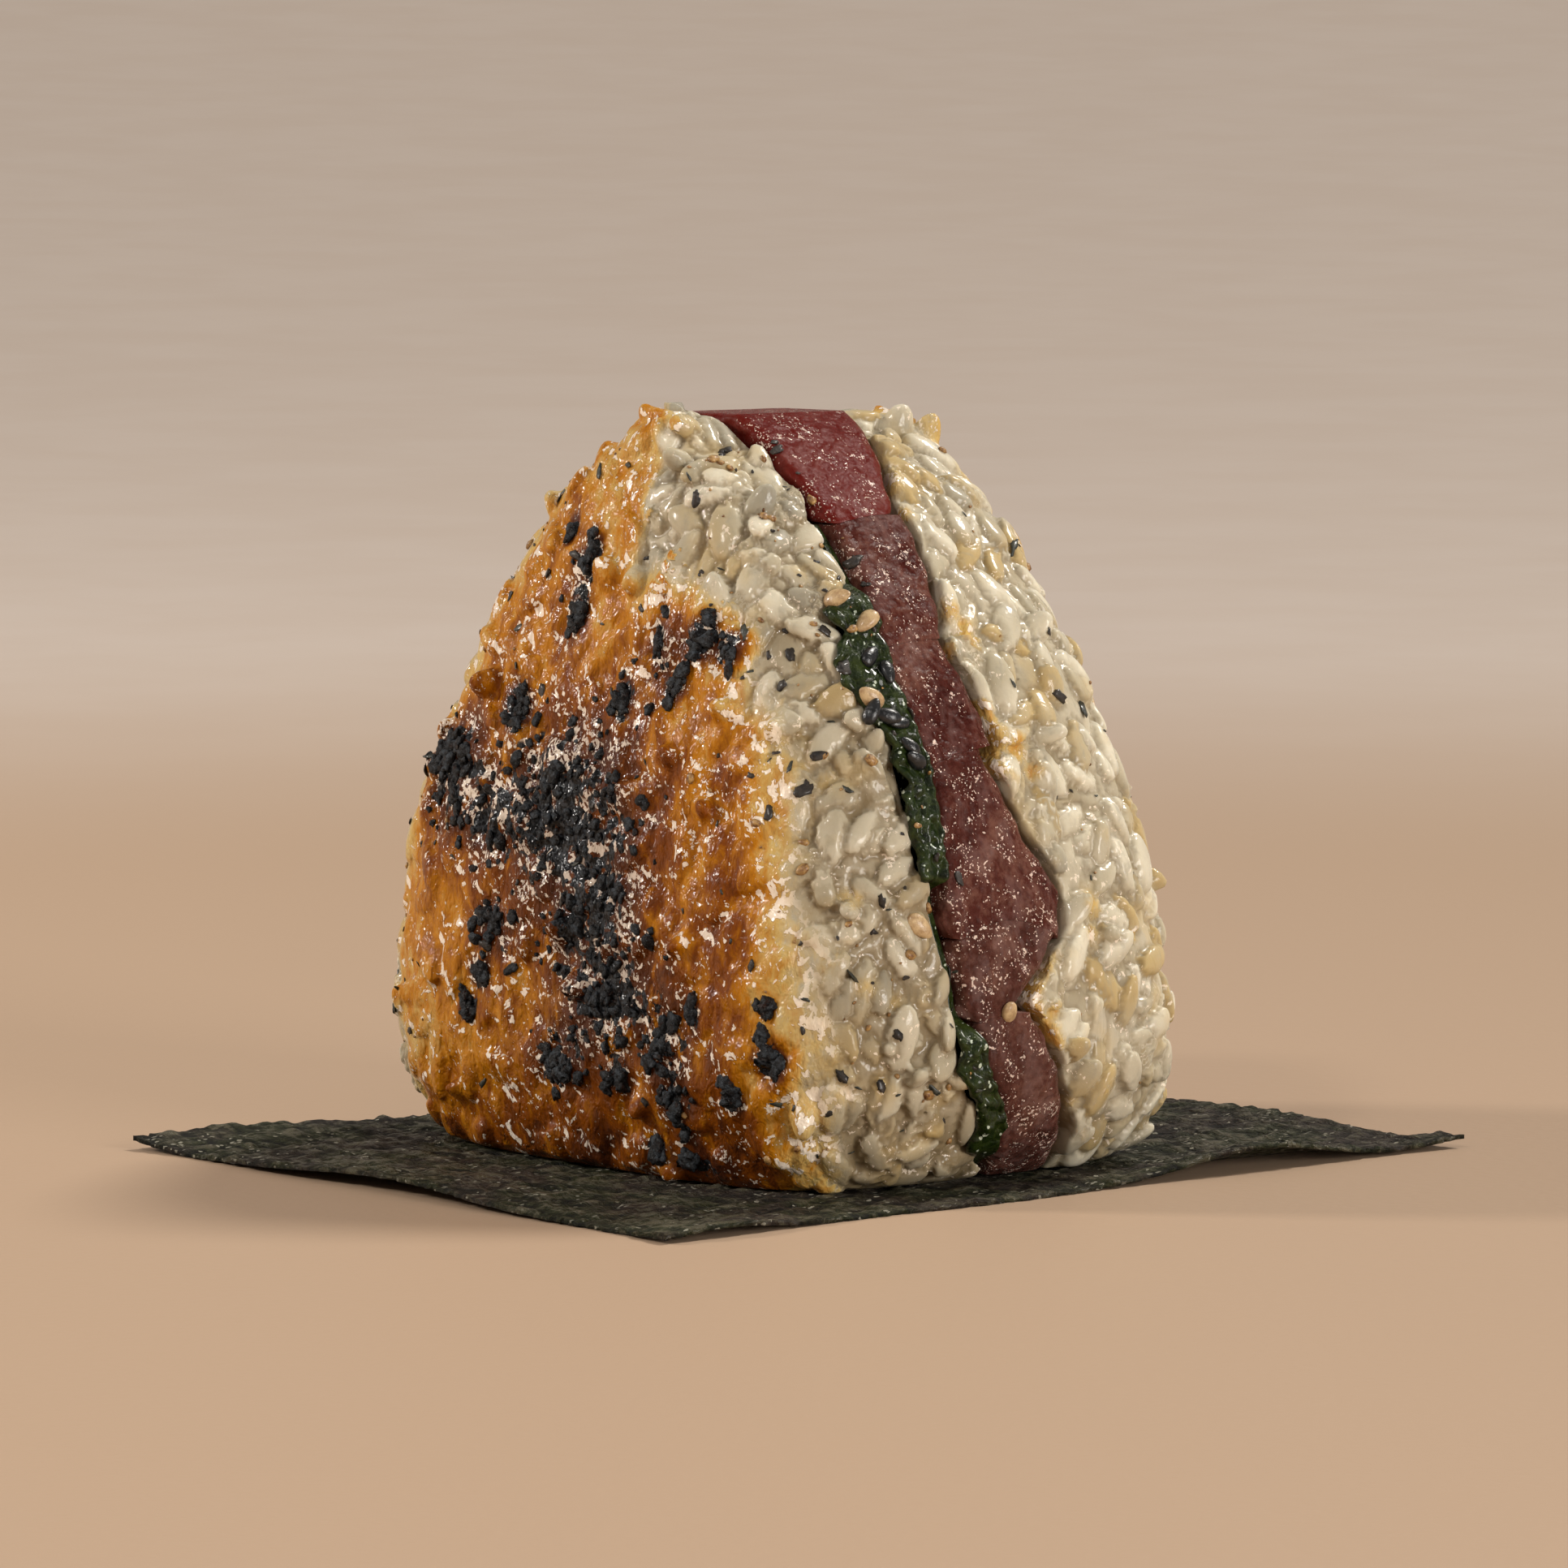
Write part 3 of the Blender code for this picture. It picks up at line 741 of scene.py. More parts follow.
@dataclass(frozen=True)
class RiceFinish:
    """Sticky cooked rice. The glaze mask runs from bare rice through amber to burnt brown. Painted shade
    darkens the crevices between grains and the lower ball, painted highlights fleck the glaze and the bare
    rice, and the char patches carry a painted bluish sheen.
    """

    bare: Colour = (0.475, 0.42, 0.3)
    light: Colour = (0.72, 0.665, 0.52)
    warm: Colour = (0.49, 0.37, 0.18)
    grey: Colour = (0.33, 0.305, 0.238)
    # The colour of the painted shade between grains and low on the ball.
    crease: Colour = (0.21, 0.15, 0.072)
    straw: Colour = (0.62, 0.43, 0.14)
    amber: Colour = (0.5, 0.19, 0.005)
    brown: Colour = (0.21, 0.052, 0.001)
    burnt: Colour = (0.065, 0.015, 0.003)
    black: Colour = (0.003, 0.003, 0.004)
    # The painted bluish sheen on char.
    painted_char_sheen: Colour = (0.035, 0.04, 0.047)
    # The colour of the painted highlights.
    painted_highlight: Colour = (1.0, 0.88, 0.74)

    def material(self) -> bpy.types.Material:
        """Makes the finish.

        Returns:
            The material.
        """
        add = Nodes("rice_and_glaze")
        glaze = add.mask("glaze")
        char = add.mask("char")
        cloud = add.noise(1.9, 4.0, 0.65, 0.4, add.squeezed(1.0, 1.0, 0.5))
        fine = add.noise(0.42, 2.0, 0.6)
        level = add.sum(glaze, add.times(add.less(cloud, 0.5), 0.9))
        level = add.most(level, 0.0)
        pale_stops = (0.0, self.bare), (0.2, self.straw), (0.46, self.amber)
        coated = add.ramp(level, *pale_stops, (0.69, self.brown), (0.92, self.burnt))
        tint = add.mask("tint")
        warm_stops = (0.0, self.warm), (0.25, self.bare), (0.48, self.light)
        grain = add.ramp(tint, *warm_stops, (0.72, self.bare), (1.0, self.grey))
        grain = add.mix(add.spread(cloud, 0.5, 0.72, (0.0, 0.5)), grain, self.grey)
        # Painted shade: darker in the crevices between grains, along their outlines, at the foot and low on
        # the front.
        grain = add.mix(add.times(add.mask("crease"), 0.85), grain, self.crease)
        patch = add.spread(add.noise(6.5, 2.0, 0.55), 0.55, 0.7, (0.0, 0.25))
        grain = add.mix(patch, grain, self.straw)
        colour = add.mix(add.spread(glaze, 0.0, 0.3), grain, coated)
        crumbs = add.cells(0.95, "F1", add.warped(0.9, 0.9, (1.0, 1.0, 0.8)))
        pick = add.sum(crumbs.outputs["Color"], add.times(add.noise(3.2, 1.0), 0.6))
        covered = add.spread(add.less(pick, char), 0.0, 0.06, (1.0, 0.0))
        singed = add.times(add.spread(char, 0.05, 0.6, (0.0, 0.85)), add.spread(cloud, 0.3, 0.5))
        colour = add.mix(singed, colour, self.burnt)
        # Char patches: black, with a painted bluish sheen on part of them.
        colour = add.mix(covered, colour, add.mix(add.spread(fine, 0.46, 0.6), self.black, self.painted_char_sheen))
        glossy = add.spread(glaze, 0.04, 0.25)
        # Painted highlights: bright flecks painted into the glaze, thickest at its pale edge and on the
        # char; they also raise the coat and the relief.
        pale_zone = add.spread(glaze, 0.56, 0.38, (0.0, 0.085))
        flecks = add.painted_glints(1.6, 0.085, 4.6, (1.0, 1.0, 0.8), pale_zone)
        more = add.times(char, 0.24)
        flecks = add.most(flecks, add.painted_glints(0.7, 0.115, 3.0, (1.0, 1.0, 0.8), more))
        glossy_here = add.times(glossy, add.spread(glaze, 0.7, 0.9, (1.0, 0.6)))
        glint_paint_and_gloss = add.less(add.times(flecks, glossy_here), covered, True)
        # Painted highlights on the bare rice.
        painted_rice_glints = add.painted_glints(0.8, 0.115, 3.4, (1.0, 1.0, 0.9))
        painted_rice_glints = add.times(painted_rice_glints, add.spread(glaze, 0.0, 0.1, (0.6, 0.0)))
        colour = add.mix(add.most(add.times(glint_paint_and_gloss, 0.9), painted_rice_glints), colour, self.painted_highlight)
        height = add.times(add.noise(0.9, 2.0, 0.6, 0.4, add.squeezed(1.0, 1.0, 0.6)), glossy)
        height = add.sum(add.times(height, 0.42), add.times(fine, 0.03))
        height = add.sum(height, add.times(glint_paint_and_gloss, 0.1))
        relief = add.bump(height, 1.0)
        add.set(
            base_color=colour,
            roughness=add.spread(cloud, 0.35, 0.65, (0.26, 0.42)),
            normal=relief,
            coat_weight=add.most(add.spread(glossy, 0.0, 1.0, (0.4, 0.3)), glint_paint_and_gloss),
            coat_roughness=0.06,
            subsurface_weight=add.less(add.spread(glossy, 0.0, 1.0, (0.6, 0.12)), covered, True),
            subsurface_scale=0.001,
            subsurface_radius=(0.8, 0.9, 1.0),
            specular_ior_level=0.08,
            coat_normal=relief,
        )
        return add.material


@dataclass(frozen=True)
class CharFinish:
    """Charred sauce and rice: black, crusty, with a painted bluish sheen and a brown edge."""

    black: Colour = (0.003, 0.003, 0.004)
    painted_char_sheen: Colour = (0.05, 0.062, 0.075)
    brown: Colour = (0.02, 0.005, 0.002)

    def material(self) -> bpy.types.Material:
        """Makes the finish.

        Returns:
            The material.
        """
        add = Nodes("char")
        cloud = add.noise(0.7, 4.0, 0.65)
        # The painted bluish sheen goes where the noise is highest.
        stops = (0.34, self.brown), (0.4, self.black), (0.48, self.black), (0.64, self.painted_char_sheen)
        colour = add.ramp(cloud, *stops)
        relief = add.bump(add.noise(0.4, 4.0, 0.75), 0.35)
        add.set(
            base_color=colour,
            roughness=add.spread(cloud, 0.35, 0.65, (0.3, 0.6)),
            normal=relief,
            specular_ior_level=0.3,
        )
        return add.material


@dataclass(frozen=True)
class TunaFinish:
    """Damp raw tuna: dark red, faintly banded, with painted sparkle highlights, painted pinkish-grey sheen
    patches and a painted highlight along the rims.
    """

    deep: Colour = (0.03, 0.007, 0.005)
    mid: Colour = (0.064, 0.018, 0.013)
    pale: Colour = (0.15, 0.068, 0.048)
    painted_sheen: Colour = (0.24, 0.15, 0.135)
    ripe: Colour = (0.125, 0.007, 0.005)
    painted_highlight: Colour = (0.82, 0.64, 0.54)

    def material(self) -> bpy.types.Material:
        """Makes the finish.

        Returns:
            The material.
        """
        add = Nodes("tuna_flesh")
        cloud = add.noise(5.0, 4.0, 0.55, 0.3)
        fine = add.noise(0.7, 4.0, 0.65)
        blend = add.sum(add.times(cloud, 0.6), add.times(fine, 0.4))
        colour = add.ramp(blend, (0.38, self.deep), (0.5, self.mid), (0.64, self.pale))
        # Painted highlight: paler along the rounded rims, and paler on some slices.
        edge = add.mask("edge")
        colour = add.mix(add.times(edge, 0.3), colour, self.pale)
        # Painted sheen: broad pinkish-grey patches.
        painted_sheen = add.noise(2.4, 3.0, 0.65, 0.4, add.squeezed(1.0, 1.0, 0.6))
        painted_sheen = add.spread(painted_sheen, 0.46, 0.66, (0.0, 0.27))
        colour = add.mix(painted_sheen, colour, self.painted_sheen)
        colour = add.mix(add.mask("ripe"), colour, self.ripe)
        # Painted highlights: fine bright flecks and specks, more of them near the rims.
        rim = add.times(edge, 0.04)
        small = add.painted_specks(0.34, 0.74, 2.6, fine, (1.0, 1.0, 0.9), 0.64, add.times(rim, 7.0))
        large = add.painted_glints(0.6, 0.108, 2.6, (1.0, 1.0, 0.9), rim)
        painted_highlight = add.most(add.times(small, 0.85), add.times(large, 0.85))
        colour = add.mix(painted_highlight, colour, self.painted_highlight)
        height = add.times(add.noise(1.4, 1.0), 0.35)
        height = add.sum(height, add.times(painted_highlight, 0.06))
        relief = add.bump(add.sum(height, add.times(fine, 0.16)), 1.0)
        add.set(
            base_color=colour,
            roughness=add.spread(fine, 0.3, 0.7, (0.2, 0.36)),
            normal=relief,
            coat_weight=add.spread(painted_highlight, 0.0, 0.6, (0.05, 1.0)),
            coat_roughness=0.05,
            specular_ior_level=0.03,
            subsurface_weight=0.2,
            subsurface_scale=0.002,
            subsurface_radius=(1.0, 0.25, 0.2),
            coat_normal=relief,
        )
        return add.material


@dataclass(frozen=True)
class LeafFinish:
    """A damp, dark green leaf with paler veins and small painted highlights."""

    dark: Colour = (0.003, 0.006, 0.002)
    green: Colour = (0.009, 0.019, 0.002)
    pale: Colour = (0.03, 0.046, 0.006)
    painted_highlight: Colour = (0.55, 0.62, 0.5)

    def material(self) -> bpy.types.Material:
        """Makes the finish.

        Returns:
            The material.
        """
        add = Nodes("leaf")
        cloud = add.noise(1.6, 4.0, 0.6, 0.5)
        veins = add.cells(1.4, "DISTANCE_TO_EDGE")
        colour = add.ramp(cloud, (0.3, self.dark), (0.5, self.green), (0.72, self.pale))
        line = add.spread(veins.outputs["Distance"], 0.0, 0.12, (0.5, 0.0))
        colour = add.mix(line, colour, self.pale)
        # Painted highlights: small bright specks in clusters.
        painted_highlight = add.painted_specks(0.6, 1.0, 2.2, cloud, (1.0, 1.0, 0.7))
        colour = add.mix(painted_highlight, colour, self.painted_highlight)
        relief = add.bump(veins.outputs["Distance"], 0.3)
        relief = add.bump(add.noise(0.6, 3.0, 0.6), 0.3, relief)
        add.set(
            base_color=colour,
            roughness=add.spread(cloud, 0.3, 0.7, (0.3, 0.5)),
            normal=relief,
            coat_weight=0.35,
            coat_roughness=0.06,
            specular_ior_level=0.15,
        )
        return add.material


@dataclass(frozen=True)
class NoriFinish:
    """Pressed seaweed: olive black, mottled green and purple brown, fibrous, with small painted highlights.
    """

    black: Colour = (0.004, 0.004, 0.002)
    olive: Colour = (0.028, 0.032, 0.01)
    purple: Colour = (0.036, 0.025, 0.018)
    painted_highlight: Colour = (0.5, 0.48, 0.38)
    pale: Colour = (0.12, 0.11, 0.07)

    def material(self) -> bpy.types.Material:
        """Makes the finish.

        Returns:
            The material.
        """
        add = Nodes("nori_fibres")
        along = add.squeezed(1.0, 0.35, 1.0)
        across = add.squeezed(0.4, 1.0, 1.0)
        threads = add.noise(1.6, 5.0, 0.72, 1.2, along)
        other = add.noise(2.2, 5.0, 0.72, 1.0, across)
        weave = add.sum(add.times(threads, 0.5), add.times(other, 0.5))
        weave = add.sum(weave, add.times(add.less(add.mask("crest"), 0.5), 0.16))
        cloud = add.noise(11.0, 3.0, 0.6)
        body = add.ramp(weave, (0.4, self.black), (0.5, self.olive), (0.58, self.pale))
        warm = add.ramp(weave, (0.41, self.black), (0.51, self.purple), (0.61, self.pale))
        colour = add.mix(add.spread(cloud, 0.42, 0.6), body, warm)
        # Painted highlights: small bright specks, drawn out along the fibres.
        painted_highlight = add.painted_specks(0.7, 1.02, 3.5, threads, (1.0, 0.6, 1.0))
        colour = add.mix(add.times(painted_highlight, 0.7), colour, self.painted_highlight)
        relief = add.bump(add.times(weave, 3.0), 1.0)
        add.set(
            base_color=colour,
            roughness=add.spread(weave, 0.42, 0.6, (0.75, 0.3)),
            normal=relief,
            specular_ior_level=0.22,
        )
        return add.material


@dataclass(frozen=True)
class SpeckFinish:
    """The finish of small toppings: two colours in fine patches."""

    name: str
    dark: Colour
    light: Colour
    patch: float = 0.8
    roughness: float = 0.4
    coat: float = 0.3

    def material(self) -> bpy.types.Material:
        """Makes the finish.

        Returns:
            The material.
        """
        add = Nodes(self.name)
        cloud = add.noise(self.patch, 4.0, 0.65)
        add.set(
            base_color=add.ramp(cloud, (0.35, self.dark), (0.65, self.light)),
            roughness=self.roughness,
            normal=add.bump(add.noise(self.patch * 0.4, 3.0, 0.6), 0.08),
            coat_weight=self.coat,
            coat_roughness=0.15,
        )
        return add.material


# Rice


@dataclass
class Grains:
    """Grains of rice as blunt ellipsoids: their middles, axes in rows, half sizes and shades."""

    middles: np.ndarray
    axes: np.ndarray
    halves: np.ndarray
    shades: np.ndarray

    @classmethod
    def joined(cls, layers: list[Grains]) -> Grains:
        """The grains of all the layers."""
        return cls(*(np.concatenate(group) for group in zip(*(vars(layer).values() for layer in layers))))


@dataclass
class Crust:
    """The undressed surface of one half: a grid of corners with a normal at each."""

    points: np.ndarray
    normals: np.ndarray
    rows: int
    columns: int
    tree: KDTree = field(init=False)

    def __post_init__(self) -> None:
        """Sorts the corners so that those near a place are found fast."""
        self.tree = tree_of(self.points)

    def near(self, place: np.ndarray, reach: float) -> np.ndarray:
        """The numbers of the corners within reach of a place."""
        return np.array([hit[1] for hit in self.tree.find_range(place, reach)], int)

    def spots(self, spacing: float, allowed: np.ndarray, rng: np.random.Generator) -> np.ndarray:
        """Corners spread evenly, none closer than the spacing.

        Args:
            spacing: the least distance in mm.
            allowed: which corners may be taken.
            rng: the seeded source of their order.

        Returns:
            Corner numbers.
        """
        free = allowed.copy()
        taken = []
        for index in rng.permutation(len(self.points)):
            if free[index]:
                taken.append(index)
                free[self.near(self.points[index], spacing)] = False
        return np.array(taken, int)


@dataclass
class Room:
    """Keeps places apart: a place is taken only where no other is nearer than the gap."""

    gap: float
    cells: dict[tuple[int, int, int], list[list[float]]] = field(default_factory=dict)

    def _free(self, place: list[float]) -> bool:
        """Looks for places nearer than the gap.

        Args:
            place: the place in mm.

        Returns:
            Whether it is free.
        """
        cell = [math.floor(value / self.gap) for value in place]
        around = product(*((index - 1, index, index + 1) for index in cell))
        others = (other for key in around for other in self.cells.get(key, ()))
        return all(math.dist(place, other) >= self.gap for other in others)

    def take(self, places: list[list[float]]) -> bool:
        """Takes all of the places, or none where one is too near.

        Args:
            places: the places of one piece.

        Returns:
            Whether they were taken.
        """
        if not all(self._free(place) for place in places):
            return False
        for place in places:
            key = tuple(math.floor(value / self.gap) for value in place)
            self.cells.setdefault(key, []).append(place)
        return True


@dataclass
class RiceHalf:
    """One half of the rice ball: a packed core whose outside is grains, glaze and char in relief.

    Sizes are in mm. The half's skin is a grid: rows go up the ball, and each row starts inside the seam on
    one narrow side, comes out, goes round the broad face and ends inside the seam on the other.

    The starch is how high the rice is filled between its grains, and the tone runs from warm at 0 to grey
    at 1. A packed layer is (how far its grains rise over the skin, the gap between their cores), and a
    stain is (y, z, size, strength). A grain's size along, across and through it varies between two shares
    of the usual.
    """

    face: Face
    name: str
    node: str
    seed: int
    starch: float
    swell: float
    tone: float
    stains: Rows = ()
    kept: float = 0.47
    # How dark the painted shade is between grains, along their outlines and low on the ball.
    painted_shade_weight: float = 0.5
    fineness: float = 0.31
    groove: float = 0.31
    step_up: float = 0.37
    step_side: float = 0.34
    step_face: float = 0.5
    wall: float = 4.0
    margin: float = 6.0
    narrow_run: float = 22.0
    inset_side: float = 1.3
    inset_face: float = 0.55
    grain_sizes: tuple[tuple[float, tuple[float, float]], ...] = (
        (7.3, (0.9, 1.05)),
        (3.5, (0.9, 1.1)),
        (3.5, (0.56, 0.8)),
    )
    back_reach: float = 2.6
    lowest: float = -0.25
    highest: float = 77.4
    wall_steps: int = 11
    most_tries: int = 16000
    packed: Rows = ((0.85, 2.55), (0.6, 2.3))
    glaze_fill: float = 0.35
    crust: Crust = field(init=False)

    def _heights(self) -> np.ndarray:
        """Spaces the rows evenly along the sloping side.

        Returns:
            The height of each row.
        """
        fine = np.linspace(self.lowest, self.highest, 4000)
        width = BALL.half_width(np.maximum(fine, 0.0))
        path = path_of(np.hypot(np.diff(fine), np.diff(width)))
        return np.interp(np.arange(0.0, path[-1], self.step_up), path, fine)

    def edge(self, z: np.ndarray) -> np.ndarray:
        """Where this half ends, at the seam.

        Args:
            z: heights over the base.

        Returns:
            The depth y at each height.
        """
        z = np.maximum(z, 0.0)
        if self.face is Face.FRONT:
            tuna, room = BALL.seam(z)
            return tuna - room
        return BALL.tuna_back(z) + 0.35

    def _row(self, z: float, columns: int) -> np.ndarray:
        """One row of the grid.

        Args:
            z: its height.
            columns: how many corners it has.

        Returns:
            The corners.
        """
        side = self.face.value
        at = np.array([max(z, 0.0)])
        across, deep = float(BALL.half_width(at)[0]), float(BALL.half_depth(at)[0])
        edge = float(self.edge(at)[0])
        turn = np.linspace(0.0, math.pi, 900)
        x = np.sign(np.cos(turn)) * np.abs(np.cos(turn)) ** 0.5
        y = side * np.abs(np.sin(turn)) ** 0.5
        if edge * side < 0:
            extra = np.linspace(0.0, min(0.95, abs(edge) / deep), 60)[1:][::-1]
            flank = (1.0 - extra**4) ** 0.25
            x = np.concatenate((flank, x, -flank[::-1]))
            y = np.concatenate((-side * extra, y, -side * extra[::-1]))
        facing = np.abs(x) ** 3 * deep / np.hypot(np.abs(x) ** 3 * deep, np.abs(y) ** 3 * across)
        inset = self.inset_face + (self.inset_side - self.inset_face) * smooth(0.45, 0.9, facing)
        outer_x = x * np.maximum(0.5, across - inset)
        outer_y = y * (deep - self.inset_face)
        keep = (outer_y - edge) * side > 0.0
        outer_x, outer_y, facing = outer_x[keep], outer_y[keep], facing[keep]
        depth = min(self.wall, 0.7 * abs(outer_x[0]))
        start, end = outer_x[0] - depth, outer_x[-1] + depth
        run = np.linspace(0.0, 1.0, self.wall_steps + 1)[:-1]
        wall = np.ones(self.wall_steps)
        all_x = np.concatenate((start + run * depth, outer_x, (end - run * depth)[::-1]))
        all_y = np.concatenate((edge * wall, outer_y, edge * wall))
        facing = np.concatenate((wall, facing, wall))
        spacing = self.step_face + (self.step_side - self.step_face) * smooth(0.35, 0.75, facing)
        lengths = np.hypot(np.diff(all_x), np.diff(all_y)) / (0.5 * (spacing[1:] + spacing[:-1]))
        path = path_of(lengths)
        middle = int(np.argmax(np.abs(all_y)))
        margin = self.margin / self.step_side
        firm = (0.0, margin, path[middle], path[-1] - margin, path[-1])
        tight = int(margin + (self.wall + self.margin / 2) / self.step_side) // 2
        marks = (0.0, tight, 0.5 * columns, columns - 1 - tight, columns - 1.0)
        even = np.interp(np.arange(columns), marks, firm)
        x_row, y_row = np.interp(even, path, all_x), np.interp(even, path, all_y)
        drop = self.inset_side * float(smooth(30.0, 78.0, at)[0])
        row = np.stack((x_row, y_row, np.full(columns, z - drop)), 1)
        for _ in range(3):
            row[1:-1, :2] = 0.5 * row[1:-1, :2] + 0.25 * (row[:-2, :2] + row[2:, :2])
        return row

    def _shape(self) -> Crust:
        """Shapes the half, plain and a little uneven.

        Returns:
            The crust.
        """
        heights = self._heights()
        broad = 2.0 * (BALL.widest - self.wall) / self.step_face
        narrow = 2.0 * (self.narrow_run + self.wall) / self.step_side
        columns = int(broad + narrow) // 2 * 2
        grid = np.stack([self._row(float(z), columns) for z in heights])
        normals = grid_normals(grid) * self.face.value
        points = grid.reshape(-1, 3)
        swell = 0.75 * lumpy(points, 17.0, 1, 3.1) + 0.4 * lumpy(points, 6.5, 1, 8.7)
        points = points + normals * (swell * self.loose(points, normals))[:, None]
        return Crust(points, normals, len(heights), columns)

    def loose(self, points: np.ndarray, normals: np.ndarray) -> np.ndarray:
        """How freely the skin may rise: 1 outside, 0 on the wall inside the seam and at the foot."""
        inward = normals[:, 1] * -self.face.value
        return smooth(0.85, 0.3, inward) * smooth(-0.5, 1.2, points[:, 2])

    def held(self, points: np.ndarray, highest: float) -> np.ndarray:
        """Keeps points from going past the seam or under the half's foot.

        Args:
            points: the points, which are moved.
            highest: how high they may be.

        Returns:
            The same points.
        """
        edge = self.edge(points[:, 2])
        points[:, 1] = np.where((points[:, 1] - edge) * self.face.value < 0.0, edge, points[:, 1])
        points[:, 2] = np.clip(points[:, 2], self.lowest, highest)
        return points

    def _faceward(self, points: np.ndarray) -> np.ndarray:
        """How far each place lies back from the broad face, in mm."""
        return BALL.half_depth(np.maximum(points[:, 2], 0.0)) - points[:, 1] * self.face.value

    def glazed(self, points: np.ndarray) -> np.ndarray:
        """The glaze: all over the broad face and a little way round its edges.

        Args:
            points: the places.

        Returns:
            How glazed each is, 0 to 1.
        """
        back = self._faceward(points)
        rows = np.array(BALL.glaze_rows)
        reach = np.interp(points[:, 2], rows[:, 0], rows[:, 1])
        if self.face is Face.BACK:
            reach = np.full(len(points), self.back_reach)
        else:
            reach += (4.5 - reach) * smooth(4.0, -2.0, points[:, 0])
        wander = 1.9 * lumpy(points, 8.0, 2, 1.7) * np.minimum(1.0, 0.25 + reach / 4.0)
        soft = 0.7 + 0.5 * reach
        return smooth(reach + soft, reach - soft, back + wander)

    def pack(self, allowed: np.ndarray, gap: float, rise: np.ndarray, rng: np.random.Generator) -> Grains:
        """Packs grains side by side over the skin, none through another of the same layer.

        Args:
            allowed: which corners may carry a grain.
            gap: the least distance between the cores of two grains.
            rise: how far a grain's top would stand over each corner.
            rng: the seeded source of places, turns and sizes.

        Returns:
            The grains.
        """
        points, normals = self.crust.points, self.crust.normals
        order = rng.permutation(np.flatnonzero(allowed))[: self.most_tries]
        count = len(order)
        pull = rng.normal(size=(count, 3))
        pull += np.array((0.0, 0.0, 1.5)) * rng.choice((-1.0, 1.0), (count, 1))
        long = np.cross(np.cross(normals[order], pull), normals[order]) + rng.normal(0.0, 0.2, (count, 3))
        long = unit(long)
        reach = 0.31 * self.grain_sizes[0][0]
        cores = points[order][:, None] + np.array((-reach, 0.0, reach))[:, None] * long[:, None]
        room = Room(gap)
        kept = [rank for rank, places in enumerate(cores.tolist()) if room.take(places)]
        chosen, long = order[kept], long[kept]
        count = len(chosen)
        lean = unit(np.cross(np.cross(long, normals[chosen] + rng.normal(0.0, 0.2, (count, 3))), long))
        scale = rng.uniform(0.84, 1.1, count)
        sizes = [size / 2 * scale * rng.uniform(*shares, count) for size, shares in self.grain_sizes]
        halves = np.stack(sizes, 1)
        tops = rise[chosen] + np.clip(rng.normal(0.0, 0.2, count), -0.5, 0.3)
        middles = points[chosen] + normals[chosen] * (tops - halves[:, 2])[:, None]
        return Grains(middles, np.stack((long, np.cross(lean, long), lean), 1), halves, rng.random(count))

    def _cover(self, grains: Grains) -> tuple[np.ndarray, np.ndarray]:
        """Finds how high the grains stand over every corner of the skin.

        Args:
            grains: the grains.

        Returns:
            The height over each corner, and the shade of the grain that is highest there.
        """
        count = len(self.crust.points)
        high = np.full(count, -9.0)
        shade = np.full(count, 0.5)
        for middle, axes, halves, own in zip(grains.middles, grains.axes, grains.halves, grains.shades):
            near = self.crust.near(middle, float(halves[0]) + 1.6)
            if not len(near):
                continue
            offset = (self.crust.points[near] - middle) @ axes.T / halves
            heading = self.crust.normals[near] @ axes.T / halves
            steep = (heading**2).sum(1)
            half = (offset * heading).sum(1)
            room = half**2 - steep * ((offset**2).sum(1) - 1.0)
            met = room > 0.0
            near = near[met]
            height = (np.sqrt(room[met]) - half[met]) / steep[met]
            local = offset[met] + height[:, None] * heading[met]
            out = np.clip(local[:, 0] ** 2 + local[:, 1] ** 2, 0.0, 1.0)
            blunt = (1.0 - out**1.25) ** 0.4 - np.sqrt(1.0 - out)
            height = height + blunt * halves[2] * (local[:, 2] > 0.0)
            higher = height > high[near]
            shade[near] = np.where(higher, own, shade[near])
            high[near] = np.maximum(high[near], height)
        return high, shade

    def char_field(self, points: np.ndarray) -> np.ndarray:
        """The charred zones of the broad face.

        Args:
            points: the places.

        Returns:
            How charred each is, 0 to 1.
        """
        total = np.zeros(len(points))
        for x, z, wide, tall, strength in CHAR[self.face].fields:
            away = ((points[:, 0] - x) / wide) ** 2 + ((points[:, 2] - z) / tall) ** 2
            total += strength * np.exp(-away)
        on_face = smooth(5.0, 1.5, self._faceward(points))
        return np.clip(total, 0.0, 1.0) * on_face

    def build(self, finish: bpy.types.Material, grains: RiceGrains) -> bpy.types.Object:
        """Makes the half.

        Args:
            finish: the rice material.
            grains: the single grains that are fused to it.

        Returns:
            The piece.
        """
        self.crust = self._shape()
        skin, masks = self._relief()
        single, faces, more = grains.bodies(self)
        faces = self._faces().tolist() + shifted(faces, len(skin))
        bodies = np.concatenate((skin, single))
        whole, normals, faces, nearest = fused(bodies, faces, self.fineness, self.kept)
        masks = {mask: np.concatenate((values, more[mask]))[nearest] for mask, values in masks.items()}
        line = borders(faces, masks.pop("own")) * (1.0 - smooth(0.15, 0.7, self.glazed(whole)))
        whole -= normals * (self.groove * line * self.loose(whole, normals))[:, None]
        # Painted shade: darker at the foot, and on the front darker up to about 40 mm, fading out by 68 mm.
        painted_low_shade = 0.5 * self.painted_shade_weight * smooth(11.0, 1.0, whole[:, 2])
        if self.face is Face.FRONT:
            painted_low_shade += 0.32 * smooth(68.0, 40.0, whole[:, 2])
